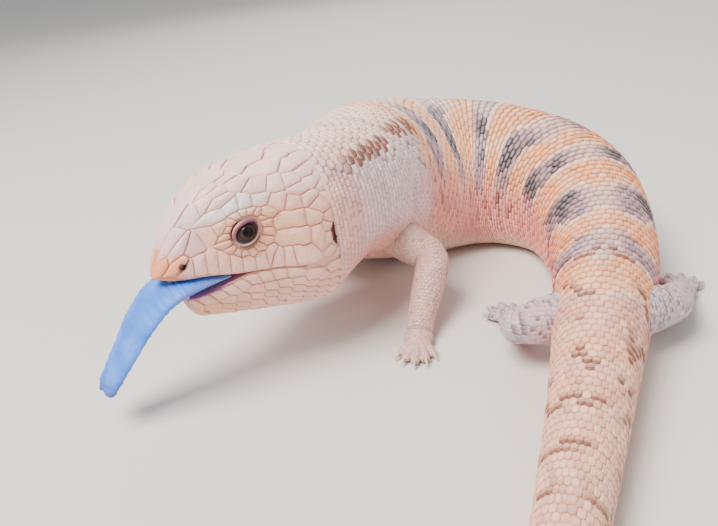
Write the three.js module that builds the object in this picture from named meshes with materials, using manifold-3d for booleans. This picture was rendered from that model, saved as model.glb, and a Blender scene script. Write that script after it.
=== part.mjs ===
// A blue tongued skink, life size and still: head raised, mouth a little open, tongue out and
// down, the trunk lying in a bend to its left and the tail laid straight on the ground.
// Millimetres, +Z up. The origin is on the flat of the belly, in the middle of the trunk.
import * as THREE from "three";
import { mergeVertices } from "three/addons/utils/BufferGeometryUtils.js";
import Module from "manifold-3d";

const wasm = await Module();
wasm.setup();

const { Vector3, BufferGeometry, BufferAttribute } = THREE;
const { degToRad, smoothstep } = THREE.MathUtils;

// Driving dimensions. "back" is the way along the spine from the tip of the snout.
const headLength = 58;
const ventBack = 330;
const totalLength = 525;
const mouthHeight = 47;
const noseRounding = 9;
const partGap = 0.3;
const restBack = 175;

// The way the body heads, seen from above, in degrees from +X, walking from snout to tail.
const headings = [
  [0, 36], [headLength, 38], [80, 60], [105, 72], [125, 54], [150, 25],
  [182, -17], [214, -58], [245, -92], [272, -103], [300, -113], [totalLength, -118],
];

// Sections: back, half width, top, bottom and the height where the section is widest.
const sections = [
  [0, 4.5, 54, 43.5, 48],
  [8, 8.5, 64, 30.5, 47.5],
  [15, 11.5, 69.5, 28.7, 47],
  [25, 15.5, 73.5, 26.2, 46.5],
  [35, 19, 75.5, 23.8, 46],
  [45, 22, 76.5, 21.8, 45.5],
  [headLength, 23.5, 76.5, 22.6, 46],
  [75, 22, 76, 26, 47],
  [92, 25, 76, 16, 45],
  [112, 30.5, 75, 6, 38],
  [135, 34.5, 71, -1, 30],
  [160, 36, 65, -1.5, 26],
  [200, 32, 57, -1.5, 23],
  [235, 25, 50, -1.5, 21],
  [270, 20, 42, -1.5, 18.5],
  [305, 16.8, 34.5, -1, 15.5],
  [345, 12.8, 27, -1, 12.6],
  [385, 10, 21, -0.8, 10],
  [420, 7.9, 16.5, -0.8, 8],
  [460, 5.5, 11.5, -0.5, 5.6],
  [500, 2.7, 5.6, -0.3, 2.8],
  [totalLength, 0.9, 2, -0.1, 1],
];

// How square the section is above and below its widest line (2 is an ellipse).
const squareness = [[0, 2.1, 2.1], [20, 2.7, 2.6], [headLength, 2.4, 2.5], [135, 2.1, 2.7],
  [250, 2.1, 2.7], [350, 2.1, 2.4], [totalLength, 2, 2.2]];

// Swellings and hollows of the head: back, angle up from the left, spreads, height.
const headForms = {
  brow: { back: 27, angle: 58, along: 8, round: 13, height: 1.3 },
  eyeBulge: { back: 27, angle: 30, along: 6, round: 12, height: 0.8 },
  loreal: { back: 15, angle: 22, along: 5, round: 14, height: -0.8 },
  cheek: { back: 47, angle: -8, along: 9, round: 22, height: 1.6 },
  jowl: { back: 54, angle: -48, along: 8, round: 20, height: 2.8 },
  crown: { back: 34, angle: 90, along: 16, round: 14, height: -0.5 },
};

// The mouth: its corner, and the two lips as height over the mouth line, by back.
const mouthCorner = 44;
const upperLip = [[-6, 0], [4, 0], [12, -0.4], [24, -2.4], [34, -3.6], [mouthCorner, -5.6]];
const lowerLip = [[-6, -9], [5, -8.6], [12, -7.2], [20, -5.2], [27, -3.5], [34, -3.9],
  [mouthCorner, -5.9]];
const jawSetback = 3.5;

// The tongue: back, height over the mouth line, half width and thickness.
const tonguePath = [[22, -3.4, 11.5, 2.6], [14, -3.1, 11.8, 3.8], [7, -3.6, 11.2, 4.8],
  [1, -5.6, 10.4, 5.4], [-6.5, -12, 9.4, 5], [-13.5, -21, 7.8, 4.4], [-20, -29.5, 6.4, 4],
  [-23.5, -34.5, 5.8, 3.2]];
const tongueLean = 7;

// Shields of the crown and cheek, by the back and angle of each one's middle. Those off the
// midline are mirrored. Bare places stand for what has no shield: eye, ear and nostril.
const shields = {
  frontonasal: [12, 90], frontal: [24, 90], interparietal: [40, 90],
  supranasal: [8, 62], prefrontal: [17, 64], frontoparietal: [33, 80], parietal: [42, 66],
  nuchal: [53, 76], loreal: [14, 24], preocular: [19, 28], brow: [25.5, 40], browEnd: [31.5, 37],
  supraocular: [24, 60], supraocularEnd: [31, 58], temporal: [38, 44], temporalTop: [45, 44],
  temporalEnd: [53, 46], cheekTop: [40, 27], cheekBack: [47.5, 25], cheekMiddle: [40.5, 12],
  cheekLow: [41, 0], jawTop: [49.5, 8],
};
const barePlaces = [[28.5, 18], [57, 4], [6.5, 22], [20, 4], [30, 1], [12, 4], [49, -12],
  [58, 24], [60, 60], [60, 90], [3, 60]];
const shieldRelief = { edge: 0.55, middle: 0.95, root: -0.9, seam: 0.45, longest: 11 };
const lipFold = { thick: 1.15, out: 0.25, from: 9, until: 42 };

const eye = { back: 28.5, left: 13.4, up: 10.4, radius: 4.8, lidRing: 3.7, lidThick: 1.35, lidOut: 3 };
const nostril = { back: 7.4, left: 7.6, up: 4, radius: 1.2 };
const ear = { back: 56.5, angle: 3, wide: 2.3, deep: 3.4, tall: 4.2 };

// Limbs, in the frame of the spine at "back": how far back, outwards and up each joint is.
const foreFoot = { toes: 5, toeLength: 8.5, toeRadius: 1.75, spread: 68, palm: 5.2 };
const hindFoot = { toes: 5, toeLength: 9.5, toeRadius: 1.85, spread: 72, palm: 5.6 };
const limbs = {
  fore_left: {
    back: 92, side: 1, foot: foreFoot, turn: -172, kneeCut: 0.3,
    thick: [8.4, 6.4, 5, 4.2],
    joints: [[2, 14, 27], [-8, 34, 21], [-30, 33, 7], [-37, 33.5, 3]],
  },
  fore_right: {
    back: 92, side: -1, foot: foreFoot, turn: -140, kneeCut: 0.55,
    thick: [8.4, 6.4, 5, 4.2],
    joints: [[2, 14, 27], [19, 33, 22], [2, 41, 6.5], [-4, 44, 3]],
  },
  hind_left: {
    back: 318, side: 1, foot: hindFoot, turn: -150, kneeCut: 0.5,
    thick: [9.2, 6.2, 4.8, 4.2],
    joints: [[-2, 6, 16], [10, 25, 16.5], [-8, 29, 6.5], [-14, 30.5, 3.2]],
  },
  hind_right: {
    back: 318, side: -1, foot: hindFoot, turn: -176, kneeCut: 0.35,
    thick: [9.2, 6.4, 5, 4.2],
    joints: [[-2, 6, 16], [-15, 21.5, 14], [-36, 24.5, 6], [-44, 25.5, 3.2]],
  },
};

// Lengths that the body is parted into, by back, with the slices and sides of each loft.
const lengths = [
  ["neck", 62, 92, 7, 30],
  ["torso_front", 92, 145, 10, 30],
  ["torso_mid", 145, 205, 11, 30],
  ["torso_rear", 205, 268, 11, 28],
  ["pelvis", 268, ventBack, 8, 28],
  ["tail_base", ventBack, 390, 7, 24],
  ["tail_mid", 390, 455, 7, 20],
  ["tail_tip", 455, totalLength, 9, 14],
];

const skinColours = {
  head: 0xe2beb2, jaw: 0xe6c6ba, neck: 0xe3c4b6, torso: 0xe4bfa6, tail: 0xe9bfb2,
  foreleg: 0xd3b9ac, hindleg: 0xcfc3c6, tongue: 0x7da0d7, eye: 0x2c2422,
};

// Smooth curve through table rows, without overshoot, one function per column.
function smoothCurve(rows, column) {
  const x = rows.map((row) => row[0]);
  const y = rows.map((row) => row[column]);
  const slope = x.slice(1).map((value, i) => (y[i + 1] - y[i]) / (value - x[i]));
  const tangent = x.map((value, i) => {
    if (i === 0) return slope[0];
    if (i === x.length - 1) return slope[i - 1];
    if (slope[i - 1] * slope[i] <= 0) return 0;
    const before = x[i] - x[i - 1];
    const after = x[i + 1] - x[i];
    const near = 2 * after + before;
    const far = after + 2 * before;
    return (near + far) / (near / slope[i - 1] + far / slope[i]);
  });
  return (at) => {
    const clamped = Math.min(Math.max(at, x[0]), x[x.length - 1]);
    let i = x.length - 2;
    while (i > 0 && clamped < x[i]) i -= 1;
    const step = x[i + 1] - x[i];
    const t = (clamped - x[i]) / step;
    const rise = (3 - 2 * t) * t * t;
    const startPull = tangent[i] * step * t * (1 - t) * (1 - t);
    const endPull = tangent[i + 1] * step * t * t * (t - 1);
    return y[i] + (y[i + 1] - y[i]) * rise + startPull + endPull;
  };
}

const headingAt = smoothCurve(headings, 1);
const halfWidthAt = smoothCurve(sections, 1);
const topAt = smoothCurve(sections, 2);
const bottomAt = smoothCurve(sections, 3);
const levelAt = smoothCurve(sections, 4);
const squareAboveAt = smoothCurve(squareness, 1);
const squareBelowAt = smoothCurve(squareness, 2);
const upperLipAt = smoothCurve(upperLip, 1);
const lowerLipAt = smoothCurve(lowerLip, 1);

// The spine seen from above, walked in half millimetre steps.
const spineStep = 0.5;
const spine = [{ x: 0, y: 0 }];
for (let back = 0; back < totalLength; back += spineStep) {
  const turn = degToRad(headingAt(back + spineStep / 2));
  const last = spine[spine.length - 1];
  spine.push({ x: last.x + Math.cos(turn) * spineStep, y: last.y + Math.sin(turn) * spineStep });
}

function spineAt(back) {
  const index = Math.min(Math.max(back, 0) / spineStep, spine.length - 1.001);
  const i = Math.floor(index);
  const t = index - i;
  const turn = degToRad(headingAt(back));
  const over = back < 0 ? back : 0;
  return {
    x: spine[i].x + (spine[i + 1].x - spine[i].x) * t + Math.cos(turn) * over,
    y: spine[i].y + (spine[i + 1].y - spine[i].y) * t + Math.sin(turn) * over,
    backward: new Vector3(Math.cos(turn), Math.sin(turn), 0),
    left: new Vector3(Math.sin(turn), -Math.cos(turn), 0),
  };
}

const rest = spineAt(restBack);

// A point given by back, left of the spine and height over the ground.
function bodyFrame(back, left, height) {
  const at = spineAt(back);
  return new Vector3(at.x - rest.x, at.y - rest.y, height).addScaledVector(at.left, left);
}

// A point of the head, given straight back, left and up from the tip of the mouth line.
function headFrame(back, left, up) {
  const at = spineAt(0);
  return new Vector3(-rest.x, -rest.y, mouthHeight + up)
    .addScaledVector(at.backward, back)
    .addScaledVector(at.left, left);
}

function headSwelling(back, angle) {
  let total = 0;
  for (const form of Object.values(headForms)) {
    for (const mirrored of [form.angle, 180 - form.angle]) {
      const turn = ((((angle - mirrored) % 360) + 540) % 360) - 180;
      const reach = ((back - form.back) / form.along) ** 2 + (turn / form.round) ** 2;
      total += form.height * Math.exp(-reach) * (form.angle === 90 ? 0.5 : 1);
    }
  }
  return total;
}

// The skin at "back", "angle" degrees up from the left side, grown outwards by "grow".
function bodyPoint(back, angle, grow = 0) {
  const cos = Math.cos(degToRad(angle));
  const sin = Math.sin(degToRad(angle));
  const square = sin >= 0 ? squareAboveAt(back) : squareBelowAt(back);
  const level = levelAt(back);
  const reach = sin >= 0 ? topAt(back) - level : level - bottomAt(back);
  const nose = Math.min(Math.max(back, 0) / noseRounding, 1);
  const round = Math.sqrt(1 - (1 - nose) ** 2);
  const swelling = headSwelling(back, angle) * round + grow;
  const across = Math.sign(cos) * Math.abs(cos) ** (2 / square) * halfWidthAt(back) * round;
  const up = Math.sign(sin) * Math.abs(sin) ** (2 / square) * reach * round;
  const point = bodyFrame(back, across + cos * swelling, level + up + sin * swelling);
  point.z = Math.max(point.z, 0);
  return point;
}

// A closed solid through rings of points, each end closed flat.
function loft(rings) {
  const sides = rings[0].length;
  const positions = rings.flat().flatMap((point) => [point.x, point.y, point.z]);
  const index = [];
  for (let i = 0; i < rings.length - 1; i += 1) {
    for (let j = 0; j < sides; j += 1) {
      const a = i * sides + j;
      const b = i * sides + ((j + 1) % sides);
      index.push(a, a + sides, b + sides, a, b + sides, b);
    }
  }
  [0, rings.length - 1].forEach((ringIndex) => {
    const ring = rings[ringIndex];
    const middle = ring.reduce((sum, point) => sum.add(point), new Vector3());
    middle.multiplyScalar(1 / sides);
    const centre = positions.length / 3;
    positions.push(middle.x, middle.y, middle.z);
    for (let j = 0; j < sides; j += 1) {
      const a = ringIndex * sides + j;
      const b = ringIndex * sides + ((j + 1) % sides);
      if (ringIndex === 0) index.push(centre, a, b);
      else index.push(centre, b, a);
    }
  });
  return faced(positions, index);
}

// A geometry whose faces point outwards.
function faced(positions, index) {
  let volume = 0;
  const corner = (i) => new Vector3().fromArray(positions, index[i] * 3);
  for (let i = 0; i < index.length; i += 3) {
    volume += corner(i).dot(corner(i + 1).cross(corner(i + 2)));
  }
  if (volume < 0) {
    for (let i = 0; i < index.length; i += 3) {
      [index[i], index[i + 1]] = [index[i + 1], index[i]];
    }
  }
  const geometry = new BufferGeometry();
  geometry.setAttribute("position", new BufferAttribute(new Float32Array(positions), 3));
  geometry.setIndex(index);
  return geometry;
}

function ringOf(sides, place) {
  return Array.from({ length: sides }, (unused, j) => place((j * 360) / sides));
}

function steps(from, to, count) {
  return Array.from({ length: count + 1 }, (unused, i) => from + ((to - from) * i) / count);
}

function bodyLength(from, to, slices, sides, grow = 0) {
  return loft(steps(from, to, slices).map((back) => ringOf(sides,
    (angle) => bodyPoint(back, angle, grow))));
}

function toSolid(geometry) {
  const bare = geometry.clone();
  bare.deleteAttribute("normal");
  bare.deleteAttribute("uv");
  const merged = mergeVertices(bare, 1e-5);
  return new wasm.Manifold(new wasm.Mesh({
    numProp: 3,
    vertProperties: new Float32Array(merged.attributes.position.array),
    triVerts: new Uint32Array(merged.index.array),
  }));
}

// The largest closed surface of a solid, without scraps or sealed hollows.
function largest(solid) {
  const pieces = solid.decompose();
  return pieces.reduce((best, piece) => (piece.volume() > best.volume() ? piece : best));
}

function toGeometry(solid) {
  const mesh = largest(solid).getMesh();
  const geometry = new BufferGeometry();
  const positions = new Float32Array((mesh.vertProperties.length / mesh.numProp) * 3);
  for (let i = 0; i < positions.length; i += 1) {
    positions[i] = mesh.vertProperties[Math.floor(i / 3) * mesh.numProp + (i % 3)];
  }
  geometry.setAttribute("position", new BufferAttribute(positions, 3));
  geometry.setIndex(Array.from(mesh.triVerts));
  return geometry;
}

// All that lies under a lip's curve, from in front of the snout to "until", as a slab
// right across the head.
function lipSlab(lipAt, until) {
  const reach = 40;
  const backs = steps(-6, until, 8);
  const outline = new THREE.Shape([
    new THREE.Vector2(until, -reach),
    new THREE.Vector2(-6, -reach),
    ...backs.map((back) => new THREE.Vector2(back, lipAt(back))),
  ]);
  const slab = new THREE.ExtrudeGeometry(outline, { depth: 2 * reach, bevelEnabled: false });
  const at = spineAt(0);
  const turned = new THREE.Matrix4().makeBasis(at.backward, new Vector3(0, 0, 1), at.left);
  return slab.applyMatrix4(turned.setPosition(headFrame(0, -reach, 0)));
}

function ellipsoid(centre, radii, sides = 14) {
  const ball = new THREE.SphereGeometry(1, sides, Math.round(sides * 0.7));
  const at = spineAt(0);
  const frame = new THREE.Matrix4().makeBasis(at.backward.clone().multiplyScalar(radii[0]),
    at.left.clone().multiplyScalar(-radii[1]), new Vector3(0, 0, radii[2]));
  return ball.applyMatrix4(frame.setPosition(centre));
}

// The tongue as a flat, rounded band, grown by "grow" to cut its room out of the mouth.
function tongueBand(grow) {
  const heightAt = new THREE.CatmullRomCurve3(tonguePath.map((row) =>
    new Vector3(row[0], row[1], 0)), false, "centripetal");
  const widthCurve = new THREE.CatmullRomCurve3(tonguePath.map((row) =>
    new Vector3(row[2], row[3], 0)), false, "centripetal");
  const count = 12;
  const rings = steps(0, 1, count).map((t) => {
    const middle = heightAt.getPoint(t);
    const along = heightAt.getTangent(t);
    const size = widthCurve.getPoint(t);
    const tip = Math.sqrt(Math.max(1 - Math.max(t - 0.93, 0) ** 2 / 0.07 ** 2, 0.09));
    const lean = tongueLean * smoothstep(t, 0.3, 1);
    return ringOf(12, (angle) => {
      const across = Math.cos(degToRad(angle)) * (size.x * tip + grow);
      const out = Math.sin(degToRad(angle)) * (size.y * 0.5 * tip + grow);
      return headFrame(middle.x - along.y * out, across - lean, middle.y + along.x * out);
    });
  });
  return loft(rings);
}

// A flat map of the head that keeps the shape of small things: how far along it "back" is.
const mapStep = 0.5;
const mapTable = [0];
for (let back = mapStep; back < 70; back += mapStep) {
  const girth = (halfWidthAt(back) + topAt(back) - levelAt(back)) / 2;
  mapTable.push(mapTable[mapTable.length - 1] + mapStep / girth);
}

function mapAlong(back) {
  const i = Math.min(Math.floor(back / mapStep), mapTable.length - 2);
  return mapTable[i] + (mapTable[i + 1] - mapTable[i]) * (back / mapStep - i);
}

function mapBack(along) {
  const after = Math.max(mapTable.findIndex((value) => value >= along), 1);
  const share = (along - mapTable[after - 1]) / (mapTable[after] - mapTable[after - 1]);
  return (after - 1 + share) * mapStep;
}

// What is left of a polygon on the near side of the line half way between two places.
function nearer(polygon, here, there) {
  const middle = here.clone().add(there).multiplyScalar(0.5);
  const across = there.clone().sub(here);
  const side = (point) => point.clone().sub(middle).dot(across);
  const kept = [];
  polygon.forEach((point, i) => {
    const next = polygon[(i + 1) % polygon.length];
    const [a, b] = [side(point), side(next)];
    if (a <= 0) kept.push(point);
    if (a * b < 0) kept.push(point.clone().lerp(next, a / (a - b)));
  });
  return kept;
}

// One raised shield: its outline is where its neighbours meet it, less half a seam.
function shieldPlate(here, neighbours, side) {
  const girth = halfWidthAt(mapBack(here.x));
  const reach = shieldRelief.longest / 2 / girth;
  let outline = ringOf(8, (angle) => new THREE.Vector2(
    here.x + Math.cos(degToRad(angle)) * reach * 1.25,
    here.y + Math.sin(degToRad(angle)) * reach * 1.25,
  ));
  for (const there of neighbours) outline = nearer(outline, here, there);
  const middle = outline.reduce((sum, point) => sum.add(point), new THREE.Vector2());
  middle.multiplyScalar(1 / outline.length);
  const corners = outline.map((point) => {
    const inwards = middle.clone().sub(point);
    return point.clone().addScaledVector(inwards.normalize(), shieldRelief.seam / girth);
  });
  const place = (point, grow) => {
    const angle = THREE.MathUtils.radToDeg(point.y);
    return bodyPoint(mapBack(point.x), side > 0 ? angle : 180 - angle, grow);
  };
  const count = corners.length;
  const points = [
    ...corners.map((point) => place(point, shieldRelief.edge)),
    ...corners.map((point) => place(point, shieldRelief.root)),
    place(middle, shieldRelief.middle), place(middle, shieldRelief.root),
  ];
  const index = [];
  for (let i = 0; i < count; i += 1) {
    const next = (i + 1) % count;
    index.push(i, next, 2 * count, next, i, count + i, next, count + i, count + next);
    index.push(count + next, count + i, 2 * count + 1);
  }
  return faced(points.flatMap((point) => [point.x, point.y, point.z]), index);
}

function headShields() {
  const onMap = ([back, angle]) => new THREE.Vector2(mapAlong(back), degToRad(angle));
  const mirrored = (point) => new THREE.Vector2(point.x, Math.PI - point.y);
  const paired = Object.values(shields).map(onMap);
  const all = [...paired, ...barePlaces.map(onMap)];
  const everywhere = [...all, ...all.map(mirrored)];
  const plates = [];
  for (const here of paired) {
    const neighbours = everywhere.filter((there) => there.distanceTo(here) > 1e-3);
    const onMidline = Math.abs(here.y - Math.PI / 2) < 1e-6;
    plates.push(shieldPlate(here, neighbours, 1));
    if (!onMidline) plates.push(shieldPlate(here, neighbours, -1));
  }
  return plates;
}

// The rounded fold of a lip, from beside the snout to the corner of the mouth.
function lipRidge(lipAt, up, side, setback) {
  const backs = steps(lipFold.from, lipFold.until, 7);
  return loft(backs.map((back) => {
    const height = mouthHeight + lipAt(back) + up;
    const above = height > levelAt(back);
    const square = above ? squareAboveAt(back) : squareBelowAt(back);
    const reach = above ? topAt(back) - levelAt(back) : levelAt(back) - bottomAt(back);
    const share = Math.abs(height - levelAt(back)) / reach;
    const across = halfWidthAt(back) * (1 - share ** square) ** (1 / square);
    const thick = lipFold.thick * (back === lipFold.from || back === lipFold.until ? 0.4 : 1);
    return ringOf(7, (angle) => bodyFrame(back + setback * (1 - back / mouthCorner),
      side * (across + lipFold.out + thick * Math.cos(degToRad(angle))),
      height + thick * Math.sin(degToRad(angle))));
  }));
}

function eyeBall(side, grow) {
  return ellipsoid(headFrame(eye.back, side * eye.left, eye.up),
    [eye.radius + grow, eye.radius + grow, eye.radius + grow], 14);
}

// The fleshy ring of the lids, before the ball of the eye is cut out of it.
function lidRing(side) {
  const ring = new THREE.TorusGeometry(eye.lidRing, eye.lidThick, 6, 14);
  const out = new Vector3().subVectors(headFrame(eye.back - 0.25, side, 0.32), headFrame(eye.back,
    0, 0)).normalize();
  const centre = headFrame(eye.back, side * eye.left, eye.up).addScaledVector(out, eye.lidOut);
  const turn = new THREE.Quaternion().setFromUnitVectors(new Vector3(0, 0, 1), out);
  return ring.applyQuaternion(turn).translate(centre.x, centre.y, centre.z);
}

function headPieces() {
  const until = 62;
  const whole = toSolid(bodyRings(until));
  const tongueRoom = toSolid(tongueBand(partGap));
  const mouthAndJaw = toSolid(lipSlab(upperLipAt, mouthCorner));
  const belowLowerLip = toSolid(lipSlab(lowerLipAt, mouthCorner - partGap));
  let head = whole;
  let jaw = toSolid(jawRings(mouthCorner + 1));
  for (const plate of headShields()) head = head.add(toSolid(plate));
  for (const side of [1, -1]) {
    head = head.add(toSolid(lipRidge(upperLipAt, lipFold.thick, side, 0)));
    jaw = jaw.add(toSolid(lipRidge(lowerLipAt, -lipFold.thick, side, jawSetback)));
  }
  head = head.subtract(mouthAndJaw).subtract(tongueRoom);
  jaw = jaw.intersect(belowLowerLip).subtract(tongueRoom);
  for (const side of [1, -1]) {
    head = head.add(toSolid(lidRing(side))).subtract(toSolid(eyeBall(side, partGap)));
    const nose = headFrame(nostril.back, side * nostril.left, nostril.up);
    head = head.subtract(toSolid(ellipsoid(nose, [nostril.radius, nostril.radius * 1.4,
      nostril.radius * 0.8], 10)));
    const earAngle = side > 0 ? ear.angle : 180 - ear.angle;
    const cup = ellipsoid(bodyPoint(ear.back, earAngle), [ear.wide, ear.deep, ear.tall], 12);
    head = head.subtract(toSolid(cup));
  }
  return { head, jaw };
}

// Rings of the head, closer together at the snout.
function bodyRings(until) {
  const count = 20;
  const backs = steps(0, 1, count).map((t) => until * (0.4 * t * t + 0.6 * t) + 0.12);
  backs[count] = until;
  return loft(backs.map((back) => ringOf(36, (angle) => bodyPoint(back, angle))));
}

// The lower jaw follows the head's own outline, set back a little at the chin.
function jawRings(until) {
  const backs = steps(0, 1, 16).map((t) => until * (0.4 * t * t + 0.6 * t) + 0.12);
  return loft(backs.map((back) => ringOf(36, (angle) => {
    const point = bodyPoint(back, angle);
    const setback = jawSetback * (1 - back / until);
    return point.addScaledVector(spineAt(back).backward, setback);
  })));
}

// One length of a limb: a round, tapered bar with a rounded end over each joint.
function limbLength(from, to, fromRadius, toRadius) {
  const along = new Vector3().subVectors(to, from);
  const length = along.length();
  along.normalize();
  const across = new Vector3().crossVectors(along, new Vector3(0, 0, 1)).normalize();
  const up = new Vector3().crossVectors(across, along);
  const capAngles = [18, 54, 90].map(degToRad);
  const profile = [
    ...capAngles.map((turn) => [-fromRadius * Math.cos(turn), fromRadius * Math.sin(turn)]),
    [length * 0.45, (fromRadius + toRadius) * 0.52],
    ...capAngles.reverse().map((turn) => [length + toRadius * Math.cos(turn),
      toRadius * Math.sin(turn)]),
  ];
  return loft(profile.map(([distance, radius]) => ringOf(9, (angle) => {
    const point = from.clone().addScaledVector(along, distance);
    point.addScaledVector(across, Math.cos(degToRad(angle)) * radius);
    point.addScaledVector(up, Math.sin(degToRad(angle)) * radius);
    point.z = Math.max(point.z, 0);
    return point;
  })));
}

function limbJoints(limb) {
  const at = spineAt(limb.back);
  return limb.joints.map(([back, out, up]) => new Vector3(at.x - rest.x, at.y - rest.y, up)
    .addScaledVector(at.backward, back)
    .addScaledVector(at.left, out * limb.side));
}

// One toe: an arched, tapered tube that ends in a curved claw on the ground.
function toe(root, heading, foot, reach) {
  const ahead = new Vector3(Math.cos(heading), Math.sin(heading), 0);
  const across = new Vector3(-ahead.y, ahead.x, 0);
  const profile = [
    [-0.3, 2.7, 1.1], [0.4, 2.6, 1], [0.98, 1.5, 0.76], [1.06, 1.7, 0.46],
    [1.22, 1.5, 0.38], [1.38, 0.7, 0.2],
  ];
  return loft(profile.map(([along, height, size]) => ringOf(5, (angle) => {
    const point = root.clone().addScaledVector(ahead, along * reach);
    point.addScaledVector(across, Math.cos(degToRad(angle)) * foot.toeRadius * size);
    point.z = Math.max(height + Math.sin(degToRad(angle)) * foot.toeRadius * size, 0);
    return point;
  })));
}

// The pad of the foot that the toes grow from.
function palmPad(palm, foot) {
  const pad = new THREE.SphereGeometry(1, 9, 5);
  const places = pad.attributes.position;
  for (let i = 0; i < places.count; i += 1) {
    places.setXYZ(i, palm.x + places.getX(i) * foot.palm, palm.y + places.getY(i) * foot.palm,
      Math.max(palm.z * (1 + places.getZ(i) * 1.1), 0));
  }
  return pad;
}

function footToes(limb, joints) {
  const { foot } = limb;
  const at = spineAt(limb.back);
  const forward = Math.atan2(at.backward.y, at.backward.x);
  const middle = forward + degToRad(limb.turn) * limb.side;
  const palm = joints[3];
  const lengthsOfToes = [0.72, 0.95, 1.08, 1.02, 0.76];
  return lengthsOfToes.map((share, i) => {
    const offset = (i / (foot.toes - 1) - 0.5) * foot.spread;
    const heading = middle + degToRad(offset);
    const root = palm.clone();
    root.x += Math.cos(heading) * foot.palm * 0.8;
    root.y += Math.sin(heading) * foot.palm * 0.8;
    return toe(root, heading, foot, foot.toeLength * share);
  });
}

// A thin slab that parts a limb, square across it between two joints.
function limbCut(from, to, share, size) {
  const middle = new Vector3().lerpVectors(from, to, share);
  const slab = new THREE.BoxGeometry(size, size, partGap);
  const turn = new THREE.Quaternion().setFromUnitVectors(new Vector3(0, 0, 1),
    new Vector3().subVectors(to, from).normalize());
  return toSolid(slab.applyQuaternion(turn).translate(middle.x, middle.y, middle.z));
}

// Upper and lower limb and the foot, clear of the body and of each other.
function limbPieces(limb, bodyRoom) {
  const joints = limbJoints(limb);
  let whole = toSolid(palmPad(joints[3], limb.foot));
  for (let i = 0; i < 3; i += 1) {
    const bar = limbLength(joints[i], joints[i + 1], limb.thick[i], limb.thick[i + 1]);
    whole = whole.add(toSolid(bar));
  }
  for (const piece of footToes(limb, joints)) whole = whole.add(toSolid(piece));
  whole = largest(whole.subtract(bodyRoom));
  const kneeCut = limbCut(joints[1], joints[2], limb.kneeCut, 2.35 * limb.thick[1]);
  const wristCut = limbCut(joints[2], joints[3], 0.35, 2.8 * limb.thick[2]);
  const parted = whole.subtract(kneeCut).subtract(wristCut);
  const pieces = parted.decompose().filter((piece) => piece.volume() > 20);
  const hip = joints[0];
  const distance = (piece) => {
    const box = piece.boundingBox();
    const middle = new Vector3().fromArray(box.min).add(new Vector3().fromArray(box.max));
    return middle.multiplyScalar(0.5).distanceTo(hip);
  };
  pieces.sort((a, b) => distance(a) - distance(b));
  return pieces;
}

const skink = new THREE.Group();

function addPart(name, geometry, colour, roughness = 0.6) {
  const material = new THREE.MeshStandardMaterial({ color: colour, roughness, metalness: 0 });
  const part = new THREE.Mesh(geometry, material);
  part.name = name;
  skink.add(part);
}

function buildHead() {
  const { head, jaw } = headPieces();
  addPart("head", toGeometry(head), skinColours.head);
  addPart("lower_jaw", toGeometry(jaw), skinColours.jaw);
  addPart("tongue", toGeometry(toSolid(tongueBand(0))), skinColours.tongue, 0.45);
  addPart("eye_left", eyeBall(1, 0), skinColours.eye, 0.1);
  addPart("eye_right", eyeBall(-1, 0), skinColours.eye, 0.1);
}

function buildBody() {
  lengths.forEach(([name, from, to, slices, sides]) => {
    const last = to === totalLength ? to : to - partGap;
    const kind = name.split("_")[0];
    const colour = skinColours[kind] ?? skinColours.torso;
    addPart(name, bodyLength(from, last, slices, sides), colour);
  });
}

function buildLimbs() {
  Object.entries(limbs).forEach(([name, limb]) => {
    const reach = 45;
    const bodyRoom = toSolid(bodyLength(limb.back - reach, limb.back + reach, 18, 34, partGap));
    const colour = name.startsWith("fore") ? skinColours.foreleg : skinColours.hindleg;
    const pieces = limbPieces(limb, bodyRoom);
    ["upper", "lower", "foot"].forEach((part, i) => {
      addPart(`${name}_${part}`, toGeometry(pieces[i]), colour);
    });
  });
}

buildHead();
buildBody();
buildLimbs();

export default skink;
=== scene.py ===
import math

import bmesh
import bpy
import numpy as np
from mathutils import Matrix, Vector


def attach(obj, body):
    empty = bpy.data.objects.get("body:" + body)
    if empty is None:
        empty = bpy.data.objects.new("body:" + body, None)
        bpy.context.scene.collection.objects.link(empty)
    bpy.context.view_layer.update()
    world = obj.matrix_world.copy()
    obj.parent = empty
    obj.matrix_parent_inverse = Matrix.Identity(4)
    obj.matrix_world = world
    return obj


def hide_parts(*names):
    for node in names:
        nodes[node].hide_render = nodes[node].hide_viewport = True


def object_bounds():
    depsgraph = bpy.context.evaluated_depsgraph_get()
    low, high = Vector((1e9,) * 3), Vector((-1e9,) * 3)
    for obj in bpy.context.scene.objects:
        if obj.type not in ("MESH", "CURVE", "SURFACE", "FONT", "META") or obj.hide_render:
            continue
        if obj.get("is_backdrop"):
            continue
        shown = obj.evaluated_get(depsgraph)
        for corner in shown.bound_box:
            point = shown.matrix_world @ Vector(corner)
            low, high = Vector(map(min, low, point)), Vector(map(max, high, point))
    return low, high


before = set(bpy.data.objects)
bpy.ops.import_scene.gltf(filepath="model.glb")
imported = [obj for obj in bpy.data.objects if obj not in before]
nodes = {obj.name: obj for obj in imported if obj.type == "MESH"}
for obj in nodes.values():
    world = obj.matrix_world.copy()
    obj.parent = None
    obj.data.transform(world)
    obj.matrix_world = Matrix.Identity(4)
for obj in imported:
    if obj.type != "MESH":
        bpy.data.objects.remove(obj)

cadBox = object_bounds()
mm = 0.001

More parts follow.
